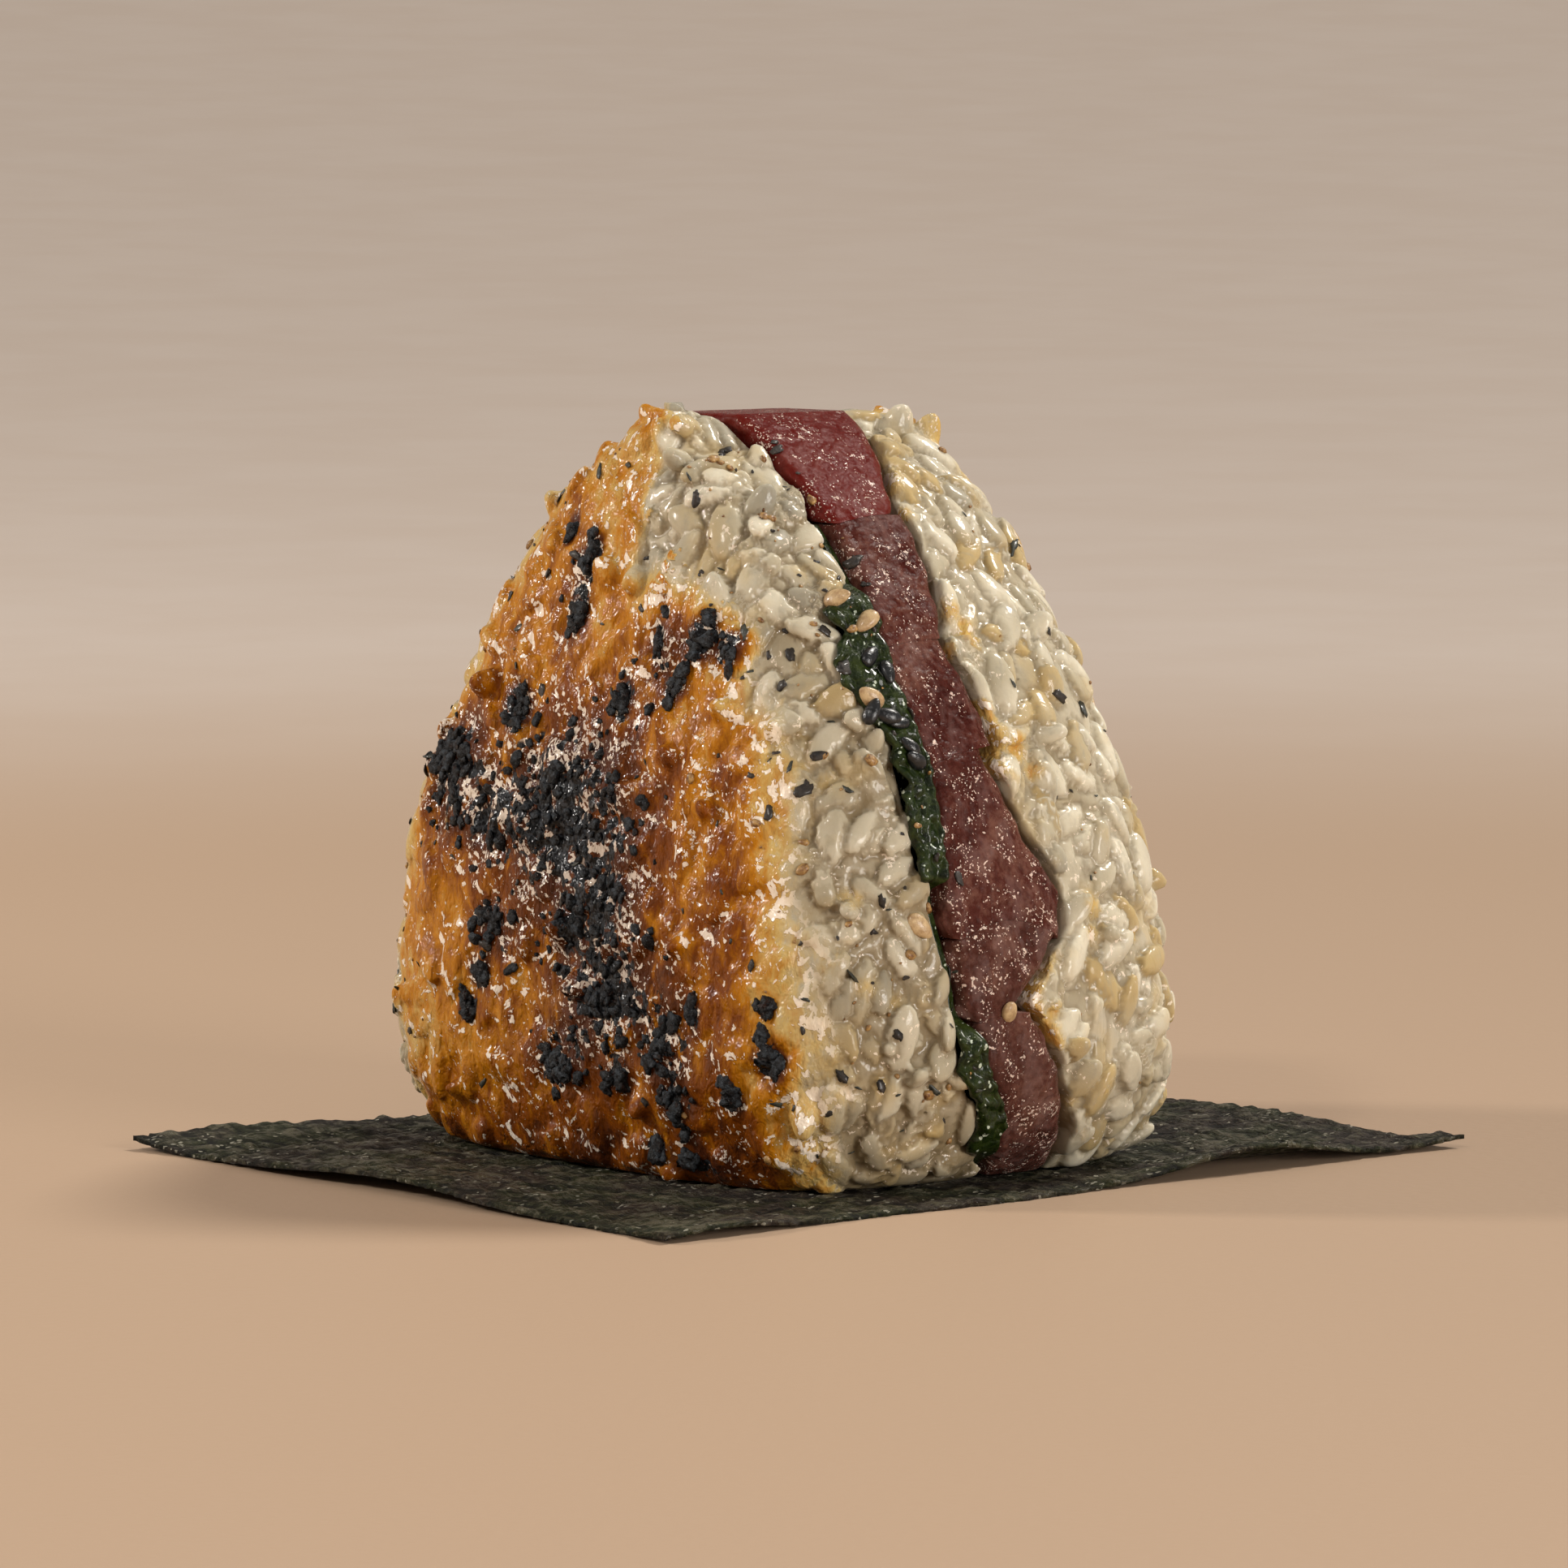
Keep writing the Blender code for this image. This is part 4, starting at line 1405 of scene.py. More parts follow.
        # Painted shade along the grain outlines and in the low skin between grains, with the painted shade
        # low on the ball.
        masks["crease"] = np.clip(self.painted_shade_weight * (0.5 * masks["crease"] + 0.65 * line) + painted_low_shade, 0.0, 1.0)
        whole = self.held(whole, grains.highest)
        return make_piece(self.name, whole, faces, finish, "rice", (self.node,), masks)

    def _relief(self) -> tuple[np.ndarray, dict[str, np.ndarray]]:
        """Raises the skin over its packed grains, its glaze and its char.

        Returns:
            The raised corners, and the finish's masks for each corner.
        """
        rng = np.random.default_rng(self.seed)
        points, normals = self.crust.points, self.crust.normals
        glazed = self.glazed(points)
        loose = self.loose(points, normals)
        open_skin = (loose > 0.3) & (points[:, 2] > 0.8)
        layers = [self.pack(open_skin, gap, rise - 0.15 * glazed, rng) for rise, gap in self.packed]
        top, shade = self._cover(Grains.joined(layers))
        coated = self.glaze_fill + np.logaddexp(0.0, (top - self.glaze_fill) / 0.4) * 0.4
        coated += 0.07 * lumpy(points, 1.9, 2, 5.5) + 0.28 * lumpy(points, 4.6, 1, 2.2)
        coated += 0.22 * lumpy(points * (1.0, 1.0, 0.3), 2.4, 1, 21.0)
        starch = self.starch + 0.22 * lumpy(points, 6.0, 2, 12.3)
        bare = starch + np.logaddexp(0.0, (top - starch) / 0.08) * 0.08
        bare += 0.06 * lumpy(points, 1.8, 1, 15.0) + self.swell * lumpy(points, 3.8, 1, 41.0)
        height = bare + (coated - bare) * glazed
        burnt = self.char_field(points)
        height += burnt * np.clip(lumpy(points, 1.5, 2, 9.1), -0.4, 1.2) * 0.5
        skin = self.held(points + normals * (height * loose)[:, None], math.inf)
        shade_there = np.where(top > starch, shade, 0.5)
        glaze, black = self.browning(points, glazed, burnt)
        return skin, {
            "glaze": glaze,
            "char": black,
            "tint": self.tinted(points, shade_there),
            # Painted shade where the skin lies low between the grains.
            "crease": 1.2 * smooth(0.2, 0.0, top - starch) * (1.0 - 0.8 * glazed),
            "own": shade_there,
        }

    def tinted(self, points: np.ndarray, shade: np.ndarray) -> np.ndarray:
        """The tint of each place, from warm at 0 to grey at 1, out of its grain's own shade."""
        return np.clip(self.tone + 0.8 * (shade - 0.5) + 0.3 * lumpy(points, 9.0, 2, 17.0), 0.0, 1.0)

    def browning(
        self, points: np.ndarray, glazed: np.ndarray, burnt: np.ndarray
    ) -> tuple[np.ndarray, np.ndarray]:
        """How brown and how black each place is.

        Args:
            points: the places.
            glazed: how glazed each is.
            burnt: how charred each is by the fields.

        Returns:
            The glaze mask and the char mask.
        """
        z = points[:, 2]
        across = points[:, 0] / BALL.half_width(np.maximum(z, 0.0))
        amber = 0.47 + 0.12 * lumpy(points, 12.0, 2, 4.4)
        amber = amber + 0.12 * lumpy(points * (1.0, 1.0, 0.5), 4.0, 2, 6.1)
        amber += 0.42 * np.sqrt(burnt) + 0.26 * smooth(12.0, 2.0, z) - 0.1 * smooth(50.0, 72.0, z)
        amber -= 0.14 * smooth(0.6, 0.86, np.abs(across))
        amber += 0.16 * hump(across, 0.58, 0.07) * smooth(60.0, 44.0, z)
        back = self._faceward(points)
        halo = np.zeros(len(points))
        black = burnt.copy()
        for middle_x, middle_z, wide, tall in CHAR[self.face].lumps:
            away = np.hypot((points[:, 0] - middle_x) / wide, (z - middle_z) / tall)
            away = np.where(back < 9.0, away, 9.0)
            halo = np.maximum(halo, hump(away, 0.0, 0.95))
            black = np.maximum(black, hump(away, 0.0, 0.6))
        glaze = np.maximum(glazed * amber, np.minimum(0.35 + glazed, 1.0) * halo * 0.95)
        for middle_y, middle_z, size, level in self.stains:
            away = np.hypot(points[:, 1] - middle_y, z - middle_z) / size
            glaze = np.maximum(glaze, 0.6 * level * hump(away, 0.0, 1.0) * (np.abs(across) > 0.3))
        if self.face is Face.BACK:
            from_seam = points[:, 1] - self.edge(z)
            pooled = smooth(-0.1, 0.45, lumpy(points, 6.0, 2, 23.0))
            glaze = np.maximum(glaze, 0.27 * smooth(2.2, 0.1, from_seam) * pooled)
        return np.clip(glaze, 0.0, 1.0), np.clip(black, 0.0, 1.0)

    def _faces(self) -> np.ndarray:
        """Closes the grid at the base, at the ridge and along the wall in the seam.

        Returns:
            The faces.
        """
        rows, columns = self.crust.rows, self.crust.columns
        number = np.arange(rows * columns).reshape(rows, columns)
        skin = grid_quads(number)
        seam = np.stack((number[:-1, -1], number[:-1, 0], number[1:, 0], number[1:, -1]), -1)
        half = columns // 2 - 1
        j = np.arange(half)
        base = number[0]
        ridge = number[-1]
        below = np.stack((base[j + 1], base[j], base[columns - 1 - j], base[columns - 2 - j]), -1)
        above = np.stack((ridge[j], ridge[j + 1], ridge[columns - 2 - j], ridge[columns - 1 - j]), -1)
        faces = np.concatenate((skin, seam, below, above))
        return faces[:, ::-1] if self.face is Face.FRONT else faces


@dataclass
class RiceGrains:
    """The single grains that show on the narrow sides and the ridge of one half. Sizes in mm.

    They rise over the skin, their cores stay a gap apart, and they grow fewer up to the height crisp_to.
    """

    seed: int
    rise: float
    gap: float
    crisp_to: float
    rings: int = 9
    around: int = 14
    highest: float = 77.6

    def _pattern(self) -> np.ndarray:
        """One grain of half size 1, blunt at its ends.

        Returns:
            Its corners.
        """
        turn = np.linspace(0.0, math.pi, self.rings + 1)[1:-1]
        way = np.arange(self.around) * 2.0 * math.pi / self.around
        along = np.cos(turn)
        girth = np.sqrt(1.0 - np.abs(along) ** 3.2)
        ring = [(a, g * math.cos(w), g * math.sin(w)) for a, g in zip(along, girth) for w in way]
        return np.array([(1.0, 0.0, 0.0), *ring, (-1.0, 0.0, 0.0)])

    def bodies(self, half: RiceHalf) -> tuple[np.ndarray, list, dict[str, np.ndarray]]:
        """Lays the grains on a half.

        Args:
            half: the half.

        Returns:
            Their corners, their faces, and the finish's masks for each corner.
        """
        rng = np.random.default_rng(self.seed)
        points, normals = half.crust.points, half.crust.normals
        glazed = half.glazed(points)
        clear = (points[:, 1] - half.edge(points[:, 2])) * half.face.value > 0.9
        open_skin = (half.loose(points, normals) > 0.5) & clear & (glazed < 0.5) & (points[:, 2] > 0.9)
        fading = (self.crisp_to - 25.0, self.crisp_to)
        open_skin &= rng.random(len(points)) < np.interp(points[:, 2], fading, (1.0, 0.02))
        grains = half.pack(open_skin, self.gap, self.rise - 0.6 * glazed, rng)
        count = len(grains.shades)
        pattern = self._pattern()
        local = np.repeat(pattern[None], count, 0)
        taper = rng.uniform(-0.14, 0.14, (count, 1, 1))
        local[:, :, 1:] *= 1.0 + taper * local[:, :, :1]
        local *= grains.halves[:, None]
        bend = rng.uniform(-0.1, 0.3, (count, 1))
        local[:, :, 2] -= bend * (pattern[:, 0] ** 2)[None]
        spots = grains.middles[:, None] + local @ grains.axes
        flat = spots.reshape(-1, 3)
        dents = 1.0 + 0.15 * lumpy(flat, 2.8, 1, 3.0) + 0.05 * lumpy(flat, 1.1, 1, 13.0)
        middles = np.repeat(grains.middles, len(pattern), 0)
        flat = middles + (flat - middles) * dents[:, None]
        flat = half.held(flat, self.highest)
        one = ball_faces(self.rings, self.around)
        faces = [face for start in range(0, len(flat), len(pattern)) for face in shifted(one, start)]
        glaze, black = half.browning(flat, half.glazed(flat), half.char_field(flat))
        own = np.repeat(grains.shades, len(pattern))
        tint = half.tinted(flat, own)
        masks = {"glaze": glaze, "char": black, "tint": tint, "crease": np.zeros(len(flat)), "own": own}
        return flat, faces, masks


@dataclass(frozen=True)
class CharPlan:
    """Where one broad face is charred.

    A field is (x, z, half width, half height, strength); a lump is (x, z, width, height).
    """

    fields: Rows
    lumps: Rows
    crumbs: int


CHAR = {
    Face.FRONT: CharPlan(
        fields=(
            (-1.5, 38.0, 10.0, 7.0, 0.95), (3.0, 27.0, 8.5, 8.0, 0.85),
            (8.5, 18.0, 7.0, 5.0, 0.75), (0.0, 12.0, 5.0, 4.0, 0.6), (16.5, 12.0, 3.5, 5.5, 0.7),
            (-22.0, 39.0, 5.0, 5.5, 0.9), (-13.0, 35.0, 6.0, 4.0, 0.7),
            (-12.0, 23.0, 3.5, 3.0, 0.6), (10.0, 52.0, 4.0, 4.0, 0.45),
            (-5.0, 58.0, 2.5, 6.0, 0.45),
        ),
        lumps=(
            (-4.0, 61.7, 1.9, 5.0), (-4.7, 56.5, 2.6, 5.6), (15.0, 54.3, 3.4, 3.8),
            (9.0, 53.6, 1.9, 3.8), (12.4, 49.7, 3.0, 3.2), (5.4, 48.0, 2.2, 4.0),
            (-12.2, 46.4, 4.4, 4.8), (-24.0, 40.6, 5.0, 5.2), (-21.5, 37.6, 4.6, 4.6),
            (-12.5, 23.9, 4.6, 4.2), (-14.4, 18.8, 3.4, 3.0), (-16.4, 15.0, 2.6, 2.6),
            (4.9, 17.4, 5.4, 4.4), (-2.0, 10.6, 4.8, 4.2), (8.0, 10.6, 3.4, 3.6),
            (15.6, 14.1, 3.4, 5.2), (16.7, 8.8, 4.2, 4.0), (12.9, 3.4, 3.0, 2.2),
            (-8.1, 64.2, 1.6, 3.0), (18.2, 53.7, 3.0, 3.2), (29.9, 13.3, 3.0, 3.4),
            (25.1, 9.0, 2.0, 2.2), (20.2, 17.4, 1.5, 3.4), (29.5, 18.6, 1.1, 1.5),
            (18.4, 1.9, 3.6, 2.0),
        ),
        crumbs=340,
    ),
    Face.BACK: CharPlan(
        fields=(
            (6.0, 40.0, 9.0, 9.0, 0.6),
            (-9.0, 24.0, 10.0, 7.0, 0.55),
            (12.0, 16.0, 7.0, 5.0, 0.5),
        ),
        lumps=(
            (5.0, 44.0, 3.4, 4.4), (-7.0, 27.0, 4.2, 3.6), (11.0, 17.0, 3.6, 3.0),
            (-13.0, 48.0, 2.6, 3.4), (1.0, 60.0, 2.4, 3.2), (-18.0, 14.0, 3.0, 2.6),
        ),
        crumbs=110,
    ),
}


FRONT_STAINS = (
    (-19.4, 29.6, 1.18, 0.38), (-19.2, 20.9, 1.49, 0.32), (-16.5, 19.5, 1.24, 0.22),
    (-17.5, 52.0, 1.61, 0.19), (-19.0, 41.0, 1.74, 0.22), (-14.0, 61.0, 1.36, 0.22),
    (-21.0, 10.0, 1.61, 0.3),
)
BACK_STAINS = (
    (1.9, 56.4, 1.24, 0.42), (2.9, 54.6, 1.4, 0.51), (1.6, 46.0, 1.09, 0.33),
    (4.0, 43.2, 1.7, 0.54), (5.4, 40.8, 1.24, 0.36), (9.6, 27.4, 1.7, 0.42),
    (9.2, 24.6, 1.24, 0.36), (2.6, 17.4, 1.4, 0.45), (10.4, 9.0, 1.24, 0.3),
    (15.8, 23.9, 0.93, 0.48), (13.0, 34.0, 1.86, 0.18),
)


# Small pieces that lie on the others


@dataclass(frozen=True)
class Bit:
    """The form of one kind of small piece: its half sizes in mm, and how uneven it is."""

    halves: tuple[float, float, float]
    uneven: float
    rings: int = 6
    around: int = 8
    taper: float = 0.0
    edges: float = 0.0

    def mesh(self, rng: np.random.Generator, scale: float) -> tuple[np.ndarray, list]:
        """One piece lying on its side at the origin.

        Args:
            rng: the seeded source of its unevenness.
            scale: its size against the usual.

        Returns:
            Its corners and its faces.
        """
        turn = np.linspace(0.0, math.pi, self.rings + 1)[1:-1]
        way = np.arange(self.around) * 2.0 * math.pi / self.around
        rows = [(math.cos(a), math.sin(a)) for a in turn]
        ring = [(along, girth * math.cos(b), girth * math.sin(b)) for along, girth in rows for b in way]
        points = np.array([(1.0, 0.0, 0.0), *ring, (-1.0, 0.0, 0.0)])
        points[:, 1:] *= 1.0 - self.taper * points[:, :1]
        where = points + rng.uniform(0.0, 90.0)
        swell = lumpy(where, 1.1, 1) * self.uneven + lumpy(where, 0.45, 1) * self.uneven * 0.5
        points *= (1.0 + swell)[:, None]
        if self.edges:
            points = np.sign(points) * np.abs(points) ** (1.0 - self.edges)
        return points * np.array(self.halves) * scale, ball_faces(self.rings, self.around)


@dataclass
class Scatter:
    """Many small pieces of one kind joined into one mesh. Each is turned by chance and leans a little."""

    name: str
    bit: Bit
    rng: np.random.Generator
    turn: float = 2.0 * math.pi
    lean: float = 0.12
    points: list[np.ndarray] = field(default_factory=list)
    faces: list[tuple[int, ...]] = field(default_factory=list)
    count: int = 0

    def lay(self, found: Found, stand: float, scale: float) -> None:
        """Lays one piece where a surface was found.

        Args:
            found: the point under it in mm and the surface's normal there, or None.
            stand: how far its middle stands over the point.
            scale: its size against the usual.
        """
        if not found:
            return
        place, normal = found
        if self.lean:
            normal = (normal + Vector(self.rng.normal(0.0, self.lean, 3))).normalized()
        turned = Matrix.Rotation(self.rng.uniform(0.0, self.turn), 3, "Z")
        points, faces = self.bit.mesh(self.rng, scale)
        upright = normal.to_track_quat("Z", "Y").to_matrix() @ turned
        self.points.append(points @ np.array(upright).T + np.array(place + normal * stand))
        self.faces.extend(shifted(faces, self.count))
        self.count += len(points)

    def build(self, finish: bpy.types.Material, slot: str) -> None:
        """Joins the pieces laid so far into one mesh."""
        make_piece(self.name, np.concatenate(self.points), self.faces, finish, slot)


@dataclass
class Ground:
    """Finds the real surface of the pieces made so far, in the ball's millimetres.

    A look starts well beside a narrow side or before a broad face, and reaches as far as sight.
    """

    trees: list[BVHTree] = field(default_factory=list)
    sight: float = 60.0
    beside: float = 12.0
    before: float = 45.0

    def add(self, piece: bpy.types.Object) -> None:
        """Adds a piece's surface.

        Args:
            piece: the piece.
        """
        corners = read(piece.data.vertices, "co") / MM - BALL.shift
        polygons = [tuple(polygon.vertices) for polygon in piece.data.polygons]
        self.trees.append(BVHTree.FromPolygons(corners.tolist(), polygons))

    def find(self, start: Vector, heading: Vector) -> Found:
        """Looks from a place along a heading.

        Args:
            start: the place.
            heading: the way to look.

        Returns:
            The nearest point and its normal turned towards the start, or None.
        """
        best = None
        for tree in self.trees:
            point, normal, _, distance = tree.ray_cast(start, heading, self.sight)
            if point is not None and (best is None or distance < best[2]):
                best = (point, -normal if normal.dot(heading) > 0 else normal, distance)
        return best[:2] if best else None

    def on_side(self, side: Side, y: float, z: float) -> Found:
        """Looks for the surface of a narrow side.

        Args:
            side: which side.
            y: the depth.
            z: the height.

        Returns:
            The point and its normal, or None.
        """
        far = float(BALL.side_reach(np.array([y]), np.array([z]))[0]) + self.beside
        slope = 0.5 * smooth(20.0, 70.0, np.array(z)).item()
        heading = Vector((-side.value, 0.0, -slope)).normalized()
        return self.find(Vector((side.value * far, y, z + self.beside * slope)), heading)

    def on_face(self, face: Face, x: float, z: float) -> Found:
        """The surface of a broad face at a width and height."""
        return self.find(Vector((x, face.value * self.before, z)), Vector((0.0, -face.value, 0.0)))


@dataclass
class CharCrust:
    """The burnt lumps that stand on the glaze: large ones in their places and small ones by the fields."""

    seed: int = 71
    lump: Bit = Bit((0.72, 0.6, 0.42), 0.75, 10, 13)
    stand: float = 0.1
    least_char: float = 0.12
    crumb_gap: float = 1.05
    trail_area: float = 5.0
    trail_steps: int = 5

    def build(self, halves: dict[Face, RiceHalf], ground: Ground, finish: bpy.types.Material) -> None:
        """Lays the lumps on both broad faces.

        Args:
            halves: the rice halves by face.
            ground: the surface that they stand on.
            finish: the char material.
        """
        rng = np.random.default_rng(self.seed)
        for face, half in halves.items():
            scatter = Scatter(f"char_{face.name.lower()}", self.lump, rng, turn=math.pi, lean=0.0)
            for large in CHAR[face].lumps:
                for x, z in self._trails(large, rng):
                    scale = rng.uniform(0.55, 1.3)
                    scatter.lay(ground.on_face(face, x, z), self.stand * scale, scale)
            for x, z in self._crumbs(half, CHAR[face].crumbs, rng):
                scale = 0.35 + 0.8 * rng.random() ** 2
                scatter.lay(ground.on_face(face, x, z), self.stand * scale, scale)
            scatter.build(finish, "rice")

    def _trails(self, lump: tuple[float, ...], rng: np.random.Generator) -> Iterator[tuple[float, float]]:
        """Makes a large lump of small ones, in wandering trails that overlap.

        Args:
            lump: the large one's place and size.
            rng: the seeded source of the trails.

        Returns:
            The place x, z of each small lump.
        """
        middle_x, middle_z, wide, tall = lump
        for _ in range(max(2, int(wide * tall / self.trail_area))):
            x = middle_x + rng.normal(0.0, 0.12) * wide
            z = middle_z + rng.normal(0.0, 0.14) * tall
            for _ in range(self.trail_steps):
                yield x, z
                x += rng.normal(0.0, 0.16) * wide
                z += rng.normal(0.0, 0.2) * tall

    def _crumbs(self, half: RiceHalf, most: int, rng: np.random.Generator) -> np.ndarray:
        """Strews crumbs between the lumps, thickest where the face is most charred.

        Args:
            half: the rice half.
            most: how many there may be.
            rng: the seeded source of their places.

        Returns:
            Their places x, z.
        """
        charred = half.char_field(half.crust.points) > self.least_char
        spots = half.crust.points[half.crust.spots(self.crumb_gap, charred, rng)]
        patchy = np.clip(0.75 + 1.1 * lumpy(spots, 3.6, 2, 31.0), 0.05, 1.0)
        chosen = rng.random(len(spots)) < half.char_field(spots) * patchy
        return spots[chosen][:most, ::2]


@dataclass(frozen=True)
class Topping:
    """One kind of topping: seeds lie in their places y, z on both narrow sides, and flakes are strewn."""

    piece: str
    bit: Bit
    finish: SpeckFinish
    slot: str = "rice"
    places: Rows = ()
    sizes: tuple[float, float] = (1.0, 1.0)
    stand: float = 0.0
    on_sides: int = 0
    on_faces: int = 0


TOPPINGS = (
    Topping(
        "sesame_seeds",
        Bit((1.55, 0.98, 0.6), 0.04, 10, 14, 0.28),
        SpeckFinish("sesame_skin", (0.36, 0.22, 0.1), (0.62, 0.45, 0.24)),
        places=((-12.8, 58.6), (-10.9, 56.2), (-13.8, 49.1), (-13.5, 26.8), (-3.6, 17.6)),
        sizes=(0.9, 1.1),
        stand=0.25,
    ),
    Topping(
        "black_seeds",
        Bit((1.5, 0.85, 0.6), 0.05, 10, 12, 0.25),
        SpeckFinish("black_seed_skin", (0.002, 0.003, 0.004), (0.01, 0.012, 0.015), 0.8, 0.3, 0.25),
        slot="green_leaf",
        places=(
            (-14.2, 47.6), (-12.6, 47.2), (-11.4, 46.4), (-11.3, 44.2), (-10.8, 51.3),
            (-12.0, 53.0), (-10.9, 43.0),
        ),
        sizes=(0.85, 1.05),
        stand=0.3,
    ),
    Topping(
        "pepper_flakes",
        Bit((0.7, 0.46, 0.14), 1.15, 7, 9, 0.0, 0.2),
        SpeckFinish("pepper_skin", (0.005, 0.0035, 0.003), (0.032, 0.022, 0.014), 0.5, 0.6),
        on_sides=62,
        on_faces=34,
    ),
    Topping(
        "herb_flakes",
        Bit((0.85, 0.3, 0.11), 1.0, 7, 8, 0.2, 0.1),
        SpeckFinish("dry_herb", (0.008, 0.011, 0.008), (0.045, 0.05, 0.035), 0.6, 0.5),
        on_sides=36,
        on_faces=16,
    ),
    Topping(
        "toasted_crumbs",
        Bit((0.5, 0.38, 0.28), 0.3, 5, 6),
        SpeckFinish("toasted", (0.12, 0.04, 0.008), (0.5, 0.3, 0.1), 0.5, 0.45),
        on_sides=90,
    ),
)


@dataclass
class Toppings:
    """Sesame, black seeds, pepper and herb flakes, and toasted crumbs. Sizes in mm."""

    seed: int = 5
    highest_flake: float = 74.0
    front_share: float = 0.86
    side_stand: float = 0.08
    face_stand: float = 0.06

    def _flake_spot(self, rng: np.random.Generator) -> tuple[float, float]:
        """Picks a place on the rice of a narrow side, more often towards the ridge.

        Args:
            rng: the seeded source.

        Returns:
            The place y, z.
        """
        z = self.highest_flake * (1.0 - rng.random() ** 1.3 * 0.97)
        deep = float(BALL.half_depth(np.array(z)))
        y = rng.uniform(-deep, -8.0) if rng.random() < self.front_share else rng.uniform(4.0, deep)
        return y, z

    def build(self, ground: Ground) -> None:
        """Lays every kind of topping on both narrow sides, and flakes on the broad faces too.

        Args:
            ground: the surface that they lie on.
        """
        rng = np.random.default_rng(self.seed)
        layers = [(kind, Scatter(kind.piece, kind.bit, rng)) for kind in TOPPINGS]
        for side in Side:
            for kind, scatter in layers:
                for y, z in kind.places:
                    scatter.lay(ground.on_side(side, y, z), kind.stand, rng.uniform(*kind.sizes))
        for side in Side:
            for kind, scatter in layers:
                for _ in range(kind.on_sides):
                    spot = self._flake_spot(rng)
                    scale = 0.32 + 1.3 * rng.random() ** 3
                    scatter.lay(ground.on_side(side, *spot), self.side_stand, scale)
        for face in Face:
            for kind, scatter in layers:
                for _ in range(kind.on_faces):
                    z = rng.uniform(6.0, 70.0)
                    wide = float(BALL.half_width(np.array(z))) * 0.92
                    found = ground.on_face(face, rng.uniform(-wide, wide), z)
                    scatter.lay(found, self.face_stand, 0.4 + 0.8 * rng.random() ** 3)
        for kind, scatter in layers:
            scatter.build(kind.finish.material(), kind.slot)


# Tuna


